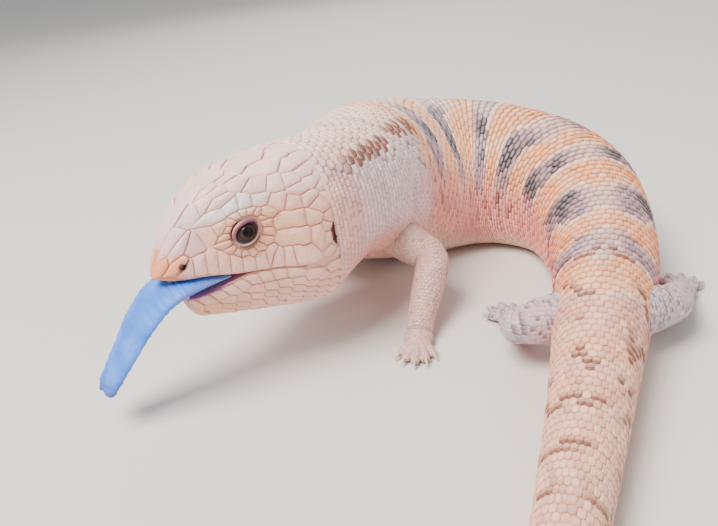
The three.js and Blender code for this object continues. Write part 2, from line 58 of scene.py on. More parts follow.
# the animal's measures in millimetres, the same as its solids have
body = {
    "ventBack": 330, "totalLength": 525, "mouthHeight": 47,
    "noseRounding": 9, "restBack": 175, "coatDepth": 0.55,
    "headings": [(0, 36), (58, 38), (80, 60), (105, 72), (125, 54), (150, 25), (182, -17),
                 (214, -58), (245, -92), (272, -103), (300, -113), (525, -118)],
    # back, half width, top, bottom, height of the widest line
    "sections": [
        (0, 4.5, 54, 43.5, 48), (8, 8.5, 64, 30.5, 47.5), (15, 11.5, 69.5, 28.7, 47),
        (25, 15.5, 73.5, 26.2, 46.5), (35, 19, 75.5, 23.8, 46), (45, 22, 76.5, 21.8, 45.5),
        (58, 23.5, 76.5, 22.6, 46), (75, 22, 76, 26, 47), (92, 25, 76, 16, 45),
        (112, 30.5, 75, 6, 38), (135, 34.5, 71, -1, 30), (160, 36, 65, -1.5, 26),
        (200, 32, 57, -1.5, 23), (235, 25, 50, -1.5, 21), (270, 20, 42, -1.5, 18.5),
        (305, 16.8, 34.5, -1, 15.5), (345, 12.8, 27, -1, 12.6), (385, 10, 21, -0.8, 10),
        (420, 7.9, 16.5, -0.8, 8), (460, 5.5, 11.5, -0.5, 5.6), (500, 2.7, 5.6, -0.3, 2.8),
        (525, 0.9, 2, -0.1, 1)],
    "squareness": [(0, 2.1, 2.1), (20, 2.7, 2.6), (58, 2.4, 2.5), (135, 2.1, 2.7),
                   (250, 2.1, 2.7), (350, 2.1, 2.4), (525, 2, 2.2)],
    # back, angle, spread along, spread round, height
    "headForms": [(27, 58, 8, 13, 1.3), (27, 30, 6, 12, 0.8), (15, 22, 5, 14, -0.8),
                  (47, -8, 9, 22, 1.6), (54, -48, 8, 20, 2.8), (34, 90, 16, 14, -0.5)],
}
mouth = {
    "corner": 44, "jawSetback": 3.5,
    "upperLip": [(-6, 0), (4, 0), (12, -0.4), (24, -2.4), (34, -3.6), (44, -5.6), (70, -7)],
    "lowerLip": [(-6, -9), (5, -8.6), (12, -7.2), (20, -5.2), (27, -3.5), (34, -3.9),
                 (44, -5.9), (70, -7.2)],
}


def smoothCurve(rows, column=1):
    # a curve through the rows that doesn't overshoot them
    x = np.array([row[0] for row in rows], float)
    y = np.array([row[column] for row in rows], float)
    step = np.diff(x)
    slope = np.diff(y) / step
    tangent = np.zeros(len(x))
    tangent[0] = slope[0]
    tangent[-1] = slope[-1]
    for i in range(1, len(x) - 1):
        if slope[i - 1] * slope[i] > 0:
            near = 2 * step[i] + step[i - 1]
            far = step[i] + 2 * step[i - 1]
            tangent[i] = (near + far) / (near / slope[i - 1] + far / slope[i])

    def at(value):
        value = np.clip(np.asarray(value, float), x[0], x[-1])
        i = np.clip(np.searchsorted(x, value, side="right") - 1, 0, len(x) - 2)
        t = (value - x[i]) / step[i]
        rise = (3 - 2 * t) * t * t
        pull = tangent[i] * step[i] * t * (1 - t) ** 2 + tangent[i + 1] * step[i] * t * t * (t - 1)
        return y[i] + (y[i + 1] - y[i]) * rise + pull
    return at


headingAt = smoothCurve(body["headings"])
halfWidthAt = smoothCurve(body["sections"], 1)
topAt = smoothCurve(body["sections"], 2)
bottomAt = smoothCurve(body["sections"], 3)
levelAt = smoothCurve(body["sections"], 4)
squareAboveAt = smoothCurve(body["squareness"], 1)
squareBelowAt = smoothCurve(body["squareness"], 2)
upperLipAt = smoothCurve(mouth["upperLip"])
lowerLipAt = smoothCurve(mouth["lowerLip"])

spineStep = 0.5
spineTurn = np.radians(headingAt(np.arange(0, body["totalLength"], spineStep) + spineStep / 2))
spineX = np.concatenate([[0], np.cumsum(np.cos(spineTurn) * spineStep)])
spineY = np.concatenate([[0], np.cumsum(np.sin(spineTurn) * spineStep)])
headTurn = math.radians(float(headingAt(0)))
restX = spineX[int(body["restBack"] / spineStep)]
restY = spineY[int(body["restBack"] / spineStep)]


def smoothStep(value, low, high):
    t = np.clip((value - low) / (high - low), 0, 1)
    return t * t * (3 - 2 * t)


def sameShape(*values):
    return np.broadcast_arrays(*[np.asarray(value, float) for value in values])


def bodyFrame(back, left, height):
    # metres, from the way back along the spine, left of it, and over the floor
    back = np.asarray(back, float)
    turn = np.radians(headingAt(back))
    index = np.clip(back, 0, body["totalLength"]) / spineStep
    x = np.interp(index, np.arange(len(spineX)), spineX) - restX + np.minimum(back, 0) * np.cos(turn)
    y = np.interp(index, np.arange(len(spineY)), spineY) - restY + np.minimum(back, 0) * np.sin(turn)
    return np.stack([x + np.sin(turn) * left, y - np.cos(turn) * left,
                     height + 0 * x], -1) * mm


def headFrame(back, left, up):
    # metres, straight back, left and up from the tip of the mouth line
    back, left, up = sameShape(back, left, up)
    x = back * math.cos(headTurn) + left * math.sin(headTurn) - restX
    y = back * math.sin(headTurn) - left * math.cos(headTurn) - restY
    return np.stack([x, y, up + body["mouthHeight"]], -1) * mm


def bodyPoints(back, angle, grow=0.0):
    # metres, at an angle round the body from its left side up, grow millimetres proud of it
    back, angle, grow = sameShape(back, angle, grow)
    cos = np.cos(np.radians(angle))
    sin = np.sin(np.radians(angle))
    square = np.where(sin >= 0, squareAboveAt(back), squareBelowAt(back))
    level = levelAt(back)
    reach = np.where(sin >= 0, topAt(back) - level, level - bottomAt(back))
    nose = np.clip(back / body["noseRounding"], 0, 1)
    rounding = np.sqrt(1 - (1 - nose) ** 2)
    swelling = np.zeros(back.shape)
    for at, middle, along, around, height in body["headForms"]:
        for side in (middle, 180 - middle):
            turn = (angle - side + 540) % 360 - 180
            share = np.exp(-((back - at) / along) ** 2 - (turn / around) ** 2)
            swelling += height * share * (0.5 if middle == 90 else 1)
    swelling = swelling * rounding + grow
    across = np.sign(cos) * np.abs(cos) ** (2 / square) * halfWidthAt(back) * rounding
    up = np.sign(sin) * np.abs(sin) ** (2 / square) * reach * rounding
    setback = mouth["jawSetback"] * np.clip(1 - back / mouth["corner"], 0, 1)
    setback = setback * smoothStep(-sin, 0.0, 0.3)
    point = bodyFrame(back + setback, across + cos * swelling, level + up + sin * swelling)
    point[..., 2] = np.maximum(point[..., 2], 0)
    return point


def linear(hexColour):
    value = np.array([int(hexColour[i:i + 2], 16) / 255 for i in (0, 2, 4)])
    return np.where(value <= 0.04045, value / 12.92, ((value + 0.055) / 1.055) ** 2.4)    # sRGB


def newObject(name, bm, smooth=True):
    mesh = bpy.data.meshes.new(name)
    bm.to_mesh(mesh)
    bm.free()
    piece = bpy.data.objects.new(name, mesh)
    bpy.context.scene.collection.objects.link(piece)
    mesh.polygons.foreach_set("use_smooth", [smooth] * len(mesh.polygons))
    return piece


def readVerts(mesh):
    values = np.zeros(len(mesh.vertices) * 3)
    mesh.vertices.foreach_get("co", values)
    return values.reshape(-1, 3)


def writeVerts(mesh, places):
    mesh.vertices.foreach_set("co", np.asarray(places, float).ravel())
    mesh.update()


def applyModifiers(piece):
    graph = bpy.context.evaluated_depsgraph_get()
    old = piece.data
    piece.data = bpy.data.meshes.new_from_object(piece.evaluated_get(graph))
    piece.modifiers.clear()
    bpy.data.meshes.remove(old)


def joinBoolean(piece, other, operation):
    cut = piece.modifiers.new("join", "BOOLEAN")
    cut.operation = operation
    cut.solver = "MANIFOLD"
    cut.object = other
    applyModifiers(piece)
    bpy.data.objects.remove(other)


def joinPieces(name, pieces):
    bm = bmesh.new()
    for piece in pieces:
        bm.from_mesh(piece.data)
        bpy.data.objects.remove(piece)
    return newObject(name, bm)


def rolledGrid(along, around, place, merge=1e-6):
    # place(u, v) gives points for u along and v round, both 0 to 1, and merge closes the seam
    bm = bmesh.new()
    bmesh.ops.create_grid(bm, x_segments=along, y_segments=around, size=1)
    grid = np.array([vert.co[:] for vert in bm.verts])
    places = place((grid[:, 0] + 1) / 2, (grid[:, 1] + 1) / 2)
    for vert, spot in zip(bm.verts, places):
        vert.co = spot
    bmesh.ops.remove_doubles(bm, verts=bm.verts, dist=merge)
    return bm


def tube(name, along, around, place):
    bm = rolledGrid(along, around, place)
    edges = [edge for edge in bm.edges if edge.is_boundary]
    filled = bmesh.ops.holes_fill(bm, edges=edges, sides=0)
    bmesh.ops.poke(bm, faces=filled["faces"])
    bmesh.ops.recalc_face_normals(bm, faces=bm.faces)
    return newObject(name, bm)


vividness = 1.38    # how far the colours stand off their own grey


def colourLayer(mesh, colours):
    grey = colours.mean(axis=1, keepdims=True)
    colours = np.clip(grey + (colours - grey) * vividness, 0.002, 0.95)
    layer = mesh.color_attributes.new("marking", "FLOAT_COLOR", "POINT")
    values = np.ones((len(mesh.vertices), 4))
    values[:, :3] = colours
    layer.data.foreach_set("color", values.ravel())


def finishPiece(piece, material):
    piece.data.materials.clear()
    piece.data.materials.append(material)
    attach(piece, "root")


def softNoise(x, y, seed):
    # seven waves laid over each other, mostly between -1 and 1
    rng = np.random.default_rng(100 + seed)
    total = np.zeros(np.broadcast(x, y).shape)
    for wave in range(7):
        turn = rng.uniform(0, math.tau)
        pace = rng.uniform(0.6, 1.7)
        shift = rng.uniform(0, math.tau)
        total += np.sin((x * math.cos(turn) + y * math.sin(turn)) * pace + shift)
    return total / 3.2


# markings
tint = {name: linear(code) for name, code in {
    "headTop": "eccfca", "snout": "e8ccd6", "rostral": "e9a98a", "brow": "e9e9e6",
    "socket": "dba88e", "cheek": "ecc4b6", "lip": "ebc8bc", "jaw": "ebc6bc", "chin": "e4b294",
    "neckTop": "eecdbd", "neckSide": "e9dadc", "throat": "e8b2ab", "cream": "ecd0bf",
    "peach": "e69c6c", "lavender": "937e8a", "dark": "2c242c", "rust": "6b2f1a",
    "flank": "e3a29a", "belly": "e6c6b8", "tail": "e6b8a6", "tailUnder": "e4967c",
    "bar": "63301f", "foreLimb": "cdb0a8", "hindLimb": "c3b3ba", "speck": "4a3a3c",
    # groove: painted shade with a warm tint, for the skin between scales, the shields' seams and the
    # scales' free edges
    "groove": "d99f8a",
}.items()}


def mix(base, other, share):
    share = np.clip(np.asarray(share, float), 0, 1)[..., None]
    return base * (1 - share) + other * share


def painted(colour, coats):
    # lays the tints over a colour one by one, each in its share
    for name, share in coats:
        colour = mix(colour, tint[name], share)
    return colour


def bump(value, middle, spread):
    return np.exp(-((value - middle) / spread) ** 2)


def fromCrown(angle):
    # degrees down from the middle of the back, on either side
    return np.abs((angle - 90 + 180) % 360 - 180)


def bodyMarking(back, angle):
    # colour of the skin and of the scale that grows at this place
    back, angle = sameShape(back, angle)
    side = fromCrown(angle)
    low = smoothStep(side, 70, 100)
    wave = softNoise(back / 9, side / 14, 3)
    fine = softNoise(back / 2.3, angle / 5, 4)
    head = painted(tint["headTop"], [
        ("snout", bump(back, 9, 8) * smoothStep(side, 78, 55)),
        ("cheek", smoothStep(side, 48, 70) * smoothStep(back, 10, 16)),
        ("socket", bump(back, 30, 12) * bump(side, 68, 16) * 0.75),
        ("brow", bump(back, 26, 5.5) * bump(side, 52, 6)),
        ("lip", smoothStep(side, 84, 90) * smoothStep(back, 8, 12)),
        ("rostral", smoothStep(back + 4 * smoothStep(side, 70, 40), 9.5, 7.5)),
        ("jaw", smoothStep(side, 100, 112)),
        ("chin", smoothStep(side, 108, 135) * smoothStep(back, 34, 8) * 0.9)])
    neck = painted(tint["neckTop"], [
        ("neckSide", smoothStep(side, 44, 60)),
        ("throat", smoothStep(side, 95, 125)),
        ("throat", bump(back, 62, 7) * smoothStep(side, 40, 60) * 0.8)])
    band = np.cos((back - 126 + 3.2 * wave + 0.05 * (side - 50)) / 29 * math.tau)
    trunk = painted(tint["cream"], [
        ("peach", smoothStep(-band, -0.3, 0.6) * (0.75 + 0.2 * fine)),
        ("lavender", smoothStep(band, 0.0, 0.6) * (0.4 + 0.5 * smoothStep(side, 6, 26))),
        ("flank", smoothStep(side, 62, 88) * 0.95),
        ("belly", smoothStep(side, 105, 128))])
    tail = painted(tint["tail"], [
        ("tailUnder", smoothStep(side, 95, 120)),
        ("peach", smoothStep(-np.cos(back / 17 * math.tau), 0, 1) * 0.35 * smoothStep(back, 420, 330))])
    trunkShare = smoothStep(back, 98, 116)
    darkness = (smoothStep(band, 0.1, 0.6) * smoothStep(side, 80, 62)
                * (0.12 + 0.88 * smoothStep(side, 12, 28)) * smoothStep(fine + 0.5 * wave, -0.75, 0.35)
                * smoothStep(back, 110, 120) * smoothStep(back, 300, 270))
    colour = mix(mix(head, neck, smoothStep(back, 55, 66)), trunk, trunkShare)
    colour = mix(colour, tint["dark"], darkness * 0.95)
    colour = mix(colour, tail, smoothStep(back, 300, 345))
    # the dark ends of the broken line along the upper side of the neck, and freckles on the flank
    spot = bump(side, 50, 6) * (bump(back, 64, 3) + bump(back, 108, 5))
    freckle = smoothStep(softNoise(back / 1.3, angle / 3.1, 8), 0.82, 1.1)
    colour = painted(colour, [
        ("lavender", spot * 0.6),
        ("dark", spot * smoothStep(fine, -0.3, 0.5) * 0.9),
        ("speck", freckle * bump(side, 84, 14) * trunkShare * 0.8)])
    return colour * (1 + 0.035 * fine[..., None]) * (1 - 0.02 * low[..., None])


def tipMarking(back, angle):
    # how dark the free edge of a scale is: the neck's line, the tail's broken bars, flank dots
    side = fromCrown(angle)
    fine = softNoise(back / 1.9, angle / 6, 31)
    wave = softNoise(back / 8, side / 16, 32)
    line = (smoothStep(bump(side, 45 + 2.5 * np.sin((back - 60) / 9), 7), 0.25, 0.6)
            * smoothStep(back, 62, 68) * smoothStep(back, 118, 108) * smoothStep(fine, -0.95, -0.2))
    broken = softNoise(back / 14, angle / 17, 33)
    bars = (smoothStep(np.cos((back + 5 * wave) / 16 * math.tau), 0.6, 0.92)
            * smoothStep(broken, -0.35, 0.2) * smoothStep(back, 280, 300)
            * smoothStep(side, 125, 95) * smoothStep(back, 505, 470))
    dots = (smoothStep(fine, 0.75, 1.0) * bump(side, 82, 16)
            * smoothStep(back, 100, 120) * smoothStep(back, 300, 270))
    upper = smoothStep(side, 60, 30) * smoothStep(fine + wave, 0.3, 0.9) * smoothStep(back, 62, 80) * 0.35
    return np.clip(line * 1.3 + bars * 1.1 + dots + upper, 0, 1)


# skin
# rings of the skin on head, trunk and tail, and where each of the three ends
skinGrid = {"rings": (112, 133, 97), "ends": (0, 64, body["ventBack"], body["totalLength"]),
            "around": 144, "limbDepth": 0.3, "toeDepth": 0.12, "voxel": 0.55, "soften": 5}


def makeBody():
    rings = np.cumsum((0, *skinGrid["rings"]))

    def place(u, v):
        back = np.interp(u, rings / rings[-1], skinGrid["ends"])
        depth = body["coatDepth"] * smoothStep(back, 0, 6) * smoothStep(back, body["totalLength"], 470)
        return bodyPoints(back, v * 360, -depth)
    return tube("skin", int(rings[-1]), skinGrid["around"], place)


limbs = {
    "fore_left": {"back": 92, "side": 1, "turn": -172, "thick": (8.4, 6.4, 5, 4.2), "foot": "fore",
                  "joints": [(2, 14, 27), (-8, 34, 21), (-30, 33, 7), (-37, 33.5, 3)]},
    "fore_right": {"back": 92, "side": -1, "turn": -140, "thick": (8.4, 6.4, 5, 4.2), "foot": "fore",
                   "joints": [(2, 14, 27), (19, 33, 22), (2, 41, 6.5), (-4, 44, 3)]},
    "hind_left": {"back": 318, "side": 1, "turn": -150, "thick": (9.2, 6.2, 4.8, 4.2), "foot": "hind",
                  "joints": [(-2, 6, 16), (10, 25, 16.5), (-8, 29, 6.5), (-14, 30.5, 3.2)]},
    "hind_right": {"back": 318, "side": -1, "turn": -176, "thick": (9.2, 6.4, 5, 4.2), "foot": "hind",
                   "joints": [(-2, 6, 16), (-15, 21.5, 14), (-36, 24.5, 6), (-44, 25.5, 3.2)]},
}
feet = {
    "fore": {"toeLength": 8.5, "toeRadius": 1.75, "spread": 68, "palm": 5.2},
    "hind": {"toeLength": 9.5, "toeRadius": 1.85, "spread": 72, "palm": 5.6},
    "shares": (0.72, 0.95, 1.08, 1.02, 0.76),
}
limbBend = 9.0      # millimetres over which a knee or elbow rounds
floorGap = 0.02     # the least height of feet and legs over the floor, in millimetres


def limbSetting(limb):
    # joints in millimetres, and a table of centres, radii and frames every quarter millimetre
    turn = math.radians(float(headingAt(limb["back"])))
    start = bodyFrame(limb["back"], 0, 0) / mm
    ahead = np.array([math.cos(turn), math.sin(turn), 0])
    left = np.array([math.sin(turn), -math.cos(turn), 0])
    joints = [start * (1, 1, 0) + ahead * b + left * o * limb["side"] + np.array([0, 0, u])
              for b, o, u in limb["joints"]]
    lengths = [np.linalg.norm(b - a) for a, b in zip(joints, joints[1:])]
    stations = np.concatenate([[0], np.cumsum(lengths)])
    step = 0.25
    s = np.arange(-limbBend, stations[-1] + limbBend, step)
    raw = np.stack([np.interp(s, stations, [j[axis] for j in joints]) for axis in range(3)], -1)
    kernel = np.ones(int(limbBend / step)) / int(limbBend / step)
    soft = np.stack([np.convolve(raw[:, axis], kernel, "same") for axis in range(3)], -1)
    keep = (s >= 0) & (s <= stations[-1])
    soft, s = soft[keep], s[keep]
    radius = np.interp(s, stations, limb["thick"])
    for a, b in zip(stations, stations[1:]):
        radius += 0.35 * np.clip(np.sin((s - a) / (b - a) * math.pi), 0, 1) * ((s >= a) & (s <= b))
    tangent = np.gradient(soft, axis=0)
    tangent /= np.linalg.norm(tangent, axis=1)[:, None] + 1e-9
    across = np.cross(tangent, (0, 0, 1))
    across /= np.linalg.norm(across, axis=1)[:, None] + 1e-9
    upward = np.cross(across, tangent)
    middle = math.atan2(ahead[1], ahead[0]) + math.radians(limb["turn"]) * limb["side"]
    return {"joints": joints, "s": s, "centre": soft, "radius": radius, "across": across,
            "upward": upward, "length": s[-1], "middle": middle}


def wristCap(share):
    # the limb's radius closes like a cap over its last 7 percent
    return np.sqrt(1 - np.clip((share - 0.93) / 0.07, 0, 0.98) ** 2)


def limbPoints(setting, s, angle, grow=0.0):
    s, angle, grow = sameShape(s, angle, grow)
    pick = {key: np.stack([np.interp(s, setting["s"], setting[key][:, axis]) for axis in range(3)], -1)
            for key in ("centre", "across", "upward")}
    radius = np.interp(s, setting["s"], setting["radius"]) + grow
    cos = np.cos(np.radians(angle)) * radius
    sin = np.sin(np.radians(angle)) * radius
    point = pick["centre"] + pick["across"] * cos[..., None] + pick["upward"] * sin[..., None]
    point[..., 2] = np.maximum(point[..., 2], floorGap)
    return point * mm


# share of the toe's length, height of its middle in millimetres, share of the toe's radius
toeProfile = [(-0.3, 2.7, 1.12), (0.1, 2.75, 1.05), (0.4, 2.6, 1.0), (0.7, 2.1, 0.92),
              (0.95, 1.7, 0.8), (1.08, 1.55, 0.5)]


def toeAxes(heading):
    ahead = np.array([math.cos(heading), math.sin(heading), 0])
    return ahead, np.array([-ahead[1], ahead[0], 0])


def toePoints(root, heading, foot, reach, along, angle, grow=0.0):
    along, angle, grow = sameShape(along, angle, grow)
    height = smoothCurve(toeProfile, 1)(along)
    size = smoothCurve(toeProfile, 2)(along) * foot["toeRadius"] + grow
    knuckle = 1 + 0.07 * np.cos(along * 3 * math.tau)
    ahead, across = toeAxes(heading)
    point = root + ahead * (along * reach)[..., None]
    point = point * (1, 1, 0) + across * (np.cos(np.radians(angle)) * size * knuckle)[..., None]
    point[..., 2] = np.maximum(height + np.sin(np.radians(angle)) * size * knuckle, floorGap)
    return point * mm


def toeRoots(setting, foot):
    for i, share in enumerate(feet["shares"]):
        heading = setting["middle"] + math.radians((i / 4 - 0.5) * foot["spread"])
        root = setting["joints"][3] + toeAxes(heading)[0] * (foot["palm"] * 0.8)
        yield root, heading, foot["toeLength"] * share


settings = {name: limbSetting(limb) for name, limb in limbs.items()}


def makeLimb(name):
    setting = settings[name]
    foot = feet[limbs[name]["foot"]]

    def place(u, v):
        s = u * setting["length"]
        radius = np.interp(s, setting["s"], setting["radius"])
        return limbPoints(setting, s, v * 360, radius * (wristCap(u) - 1) - skinGrid["limbDepth"])
    parts = [tube(name, 60, 36, place)]
    bm = bmesh.new()
    bmesh.ops.create_uvsphere(bm, u_segments=28, v_segments=16, radius=1)
    palm = setting["joints"][3]
    for vert in bm.verts:
        vert.co = Vector((palm[0] + vert.co.x * foot["palm"], palm[1] + vert.co.y * foot["palm"],
                          max(palm[2] * (1 + vert.co.z * 1.05), 0.05))) * mm
    parts.append(newObject(name + "Palm", bm))
    for root, heading, reach in toeRoots(setting, foot):
        parts.append(tube(name + "Toe", 16, 14, lambda u, v: toePoints(
            root, heading, foot, reach, -0.3 + u * 1.38, v * 360, -skinGrid["toeDepth"])))
    whole = joinPieces(name + "Flesh", parts)
    remesh = whole.modifiers.new("remesh", "REMESH")
    remesh.mode = "VOXEL"
    remesh.voxel_size = skinGrid["voxel"] * mm
    soften = whole.modifiers.new("soften", "SMOOTH")
    soften.factor = 0.5
    soften.iterations = skinGrid["soften"]
    applyModifiers(whole)
    return whole


def mouthRoom():
    # what is taken out between the lips
    def place(u, v):
        back = -8 + u * (mouth["corner"] + 8)
        turn = v * 4
        # a box section: up the left side, over, down the right, and back under
        left = np.interp(turn, [0, 1, 2, 3, 4], [40, 40, -40, -40, 40])
        high = np.interp(turn, [0, 1, 2, 3, 4], [0, 1, 1, 0, 0])
        up = lowerLipAt(back) + (upperLipAt(back) - lowerLipAt(back)) * high
        return headFrame(back, left, up)
    return tube("mouthRoom", 40, 8, place)


def ball(name, centre, radii, rings=16):
    bm = bmesh.new()
    bmesh.ops.create_uvsphere(bm, u_segments=rings * 2, v_segments=rings, radius=1)
    matrix = Matrix.Translation(centre) @ Matrix.Rotation(headTurn, 4, "Z") @ Matrix.Diagonal(
        [radius * mm for radius in radii] + [1])
    bmesh.ops.transform(bm, matrix=matrix, verts=bm.verts)
    return newObject(name, bm)


eye = {"back": 28.2, "left": 13.6, "up": 10.4, "radius": 4.75, "tilt": 24}
nostril = {"back": 7.6, "angle": 12, "radii": (1.0, 1.7, 1.3)}
ear = {"back": 56.5, "angle": 3, "radii": (2.3, 3.4, 4.2)}


def eyeCentre(side):
    return Vector(headFrame(eye["back"], side * eye["left"], eye["up"]))


def openingSpot(opening, side, depth=0.0):
    angle = opening["angle"] if side > 0 else 180 - opening["angle"]
    return Vector(bodyPoints(opening["back"], angle, -depth))


def hollows():
    for side in (1, -1):
        yield ball("socket", eyeCentre(side), [eye["radius"] + 0.12] * 3)
        yield ball("nose", openingSpot(nostril, side), nostril["radii"], 10)
        yield ball("earRoom", openingSpot(ear, side, 0.4), ear["radii"], 12)


def nearestBody(points):
    # the way back, the angle round and the share of the body's radius, of points near the body
    flat = points[:, :2] / mm + (restX, restY)
    best = np.zeros(len(points), int)
    thin = np.arange(0, len(spineX), 2)
    batch = 20000    # points at a time, to spare memory
    for start in range(0, len(points), batch):
        some = flat[start:start + batch, None]
        gap = (some[..., 0] - spineX[None, thin]) ** 2 + (some[..., 1] - spineY[None, thin]) ** 2
        best[start:start + batch] = thin[np.argmin(gap, axis=1)]
    back = best * spineStep
    turn = np.radians(headingAt(back))
    left = ((flat[:, 0] - spineX[best]) * np.sin(turn) - (flat[:, 1] - spineY[best]) * np.cos(turn))
    up = points[:, 2] / mm - levelAt(back)
    width = halfWidthAt(back)
    reach = np.where(up >= 0, topAt(back) - levelAt(back), levelAt(back) - bottomAt(back))
    angle = np.degrees(np.arctan2(up / reach, left / width))
    outside = np.hypot(up / reach, left / width)
    return back, angle, outside


print("skin")
skin = makeBody()
for limbName in limbs:
    joinBoolean(skin, makeLimb(limbName), "UNION")
joinBoolean(skin, mouthRoom(), "DIFFERENCE")
for hollow in hollows():
    joinBoolean(skin, hollow, "DIFFERENCE")


rootFold = {"reach": 30, "offLimb": 3.5, "offBody": 0.16, "rounds": 14}


def softenRoots():
    # the skin runs smoothly from the body onto each limb
    bm = bmesh.new()
    bm.from_mesh(skin.data)
    for setting in settings.values():
        start = Vector(setting["joints"][0]) * mm
        inner = []
        for vert in bm.verts:
            if (start - vert.co).length >= rootFold["reach"] * mm:
                continue
            gap = np.linalg.norm(setting["centre"] - np.array(vert.co[:]) / mm, axis=1)
            i = int(np.argmin(gap))
            outside = nearestBody(np.array([vert.co[:]]))[2][0]
            if gap[i] < setting["radius"][i] + rootFold["offLimb"] and (
                    abs(outside - 1) < rootFold["offBody"]):
                inner.append(vert)
        for smoothing in range(rootFold["rounds"]):
            bmesh.ops.smooth_vert(bm, verts=inner, factor=0.5, use_axis_x=True, use_axis_y=True,
                                  use_axis_z=True)
    bm.to_mesh(skin.data)
    bm.free()


softenRoots()


def limbShare(points):
    # which limb a point belongs to (0 none), how far along, and how surely
    palmReach = 17
    share = np.zeros(len(points))
    which = np.zeros(len(points), int)
    along = np.zeros(len(points))
    for number, setting in enumerate(settings.values(), 1):
        centre, radius, stations = [setting[key][::6] for key in ("centre", "radius", "s")]
        gap = np.linalg.norm(points[:, None, :] / mm - centre[None], axis=2) - radius[None]
        palmGap = np.linalg.norm(points / mm - setting["joints"][3], axis=1) - palmReach
        here = smoothStep(np.minimum(gap.min(axis=1), palmGap), 3.0, 0.4)
        close = here > 0
        if close.any():
            here[close] *= smoothStep(nearestBody(points[close])[2], 1.0, 1.2)
        better = here > share
        share[better] = here[better]
        which[better] = number
        along[better] = stations[gap.argmin(axis=1)][better]
    return which, along, share


def limbMarking(fore, along, angle):
    colour = np.where(fore[..., None], tint["foreLimb"], tint["hindLimb"])
    fine = softNoise(along / 1.1, angle / 11, 21)
    wave = softNoise(along / 4.5, angle / 40, 22)
    colour = mix(colour, tint["flank"], smoothStep(wave, 0.0, 1.2) * 0.45)
    return colour * (1 + 0.04 * fine[..., None])


def paintSkin():
    points = readVerts(skin.data)
    back, angle = nearestBody(points)[:2]
    which, along, share = limbShare(points)
    limbColour = limbMarking((which == 1) | (which == 2), along, angle)    # the first two are fore
    colour = mix(bodyMarking(back, angle), limbColour, share)
    # painted shade on the skin, which shows only in the grooves between scales: a tenth darker everywhere,
    # and mixed with the groove shade towards the head
    between = mix(colour, tint["groove"], smoothStep(back, 60, 20) * 0.35) * 0.9
    colourLayer(skin.data, between)


paintSkin()

# head shields
# the head unrolled to a flat map: way back in girths across, radians round the head up
mapStep = 0.25
mapBacks = np.arange(0, 72, mapStep)
mapGirth = (halfWidthAt(mapBacks) + topAt(mapBacks) - levelAt(mapBacks)) / 2
mapAlong = np.concatenate([[0], np.cumsum(mapStep / mapGirth)])[:-1]

shields = {    # named by place: (back, angle) of one or more middles, left side
    "rostral": [(2.2, 35)],
    "nasal": [(7.2, 14)], "supranasal": [(7.4, 50)], "frontonasal": [(11, 78)],
    "prefrontal": [(14.5, 58)], "frontal": [(18.5, 84), (22.5, 84), (27, 84)],
    "supraocularFront": [(19, 58)], "supraocular": [(24, 60)], "supraocularBack": [(29.2, 60)],
    "browFront": [(20.8, 39)], "brow": [(25.2, 40)], "browBack": [(29.8, 39)], "browEnd": [(34, 38)],
    "frontoparietal": [(32.5, 78)], "interparietal": [(37.5, 86), (41.5, 86)],
    "parietal": [(39, 68), (43, 66)], "nuchal": [(49, 78)], "nuchalSide": [(49.5, 60)],
    "secondNuchal": [(54.5, 80)], "secondSide": [(55, 64)],
    "loreal": [(12.6, 24)], "secondLoreal": [(17, 26)], "preocular": [(20.8, 27)],
    "templeTop": [(36, 50)], "templeUpper": [(41, 47)], "templeBack": [(46.5, 46)],
    "temple": [(39.5, 33)], "templeMiddle": [(44.3, 30)], "templeRear": [(49.5, 29)],
    "longTemporal": [(38.2, 18.5), (41, 18.5), (43.8, 18)],
    "lowTemporal": [(38.3, 9.5), (41, 9), (43.8, 8)],
    "rearTemporal": [(48.5, 17)], "rearLow": [(48.6, 6)], "cheekPlate": [(41.5, -0.5), (44.5, -1)],
    "underEye": [(33.5, 2)], "postocular": [(34.6, 27)],
}
midShields = ("rostral", "frontonasal", "frontal", "interparietal")
labials = {
    "upper": [8.8, 12.4, 15.9, 19.2, 22.6, 26.2, 30.2, 34.6, 39],
    "lower": [6.5, 10.2, 14, 17.8, 21.8, 25.8, 30, 34.4, 39],
    "half": 1.9,
}
chinShields = {
    "mental": [(2.2, -52), (2.4, -75)], "chin": [(8.5, -72)], "chinSecond": [(15, -68), (18, -68)],
    "chinThird": [(24, -64), (27, -64)], "chinSide": [(34, -52)],
}
shieldEdge = {"root": -0.9, "seam": 0.07, "steps": [(0.1, 0.05), (0.2, 0.25), (0.35, 0.4), (0.6, 0.5)],
              "shares": (0.36, 0.5), "dome": 0.64, "reach": 6.8, "stretch": 0.74, "tilt": 0.12,
              "bulges": {"nasal": 0.6, "rostral": 0.35, "brow": 0.3, "browFront": 0.2, "browBack": 0.2}}


def lipAngle(back, lipAt):
    # the angle round the head at which the lip runs
    level = levelAt(back)
    drop = level - (body["mouthHeight"] + lipAt(back))
    reach = np.where(drop > 0, level - bottomAt(back), topAt(back) - level)
    square = np.where(drop > 0, squareBelowAt(back), squareAboveAt(back))
    nose = np.clip(back / body["noseRounding"], 0.2, 1)
    reach = reach * np.sqrt(1 - (1 - nose) ** 2)
    share = np.clip(np.abs(drop) / reach, 0, 0.999) ** (square / 2)
    return -np.sign(drop) * np.degrees(np.arcsin(share))


def girthAt(back):
    return float(np.interp(back, mapBacks, mapGirth))


def onMap(back, angle):
    return np.array([float(np.interp(back, mapBacks, mapAlong)), math.radians(angle)])


def bothSides(seeds):
    # (group name, map point) for the left and the right
    for name, point in seeds:
        yield name, point
        mirrored = np.array([point[0], math.pi - point[1]])
        if abs(point[1] - math.pi / 2) > 1e-4:
            yield (name if name in midShields or name is None else name + "Right"), mirrored


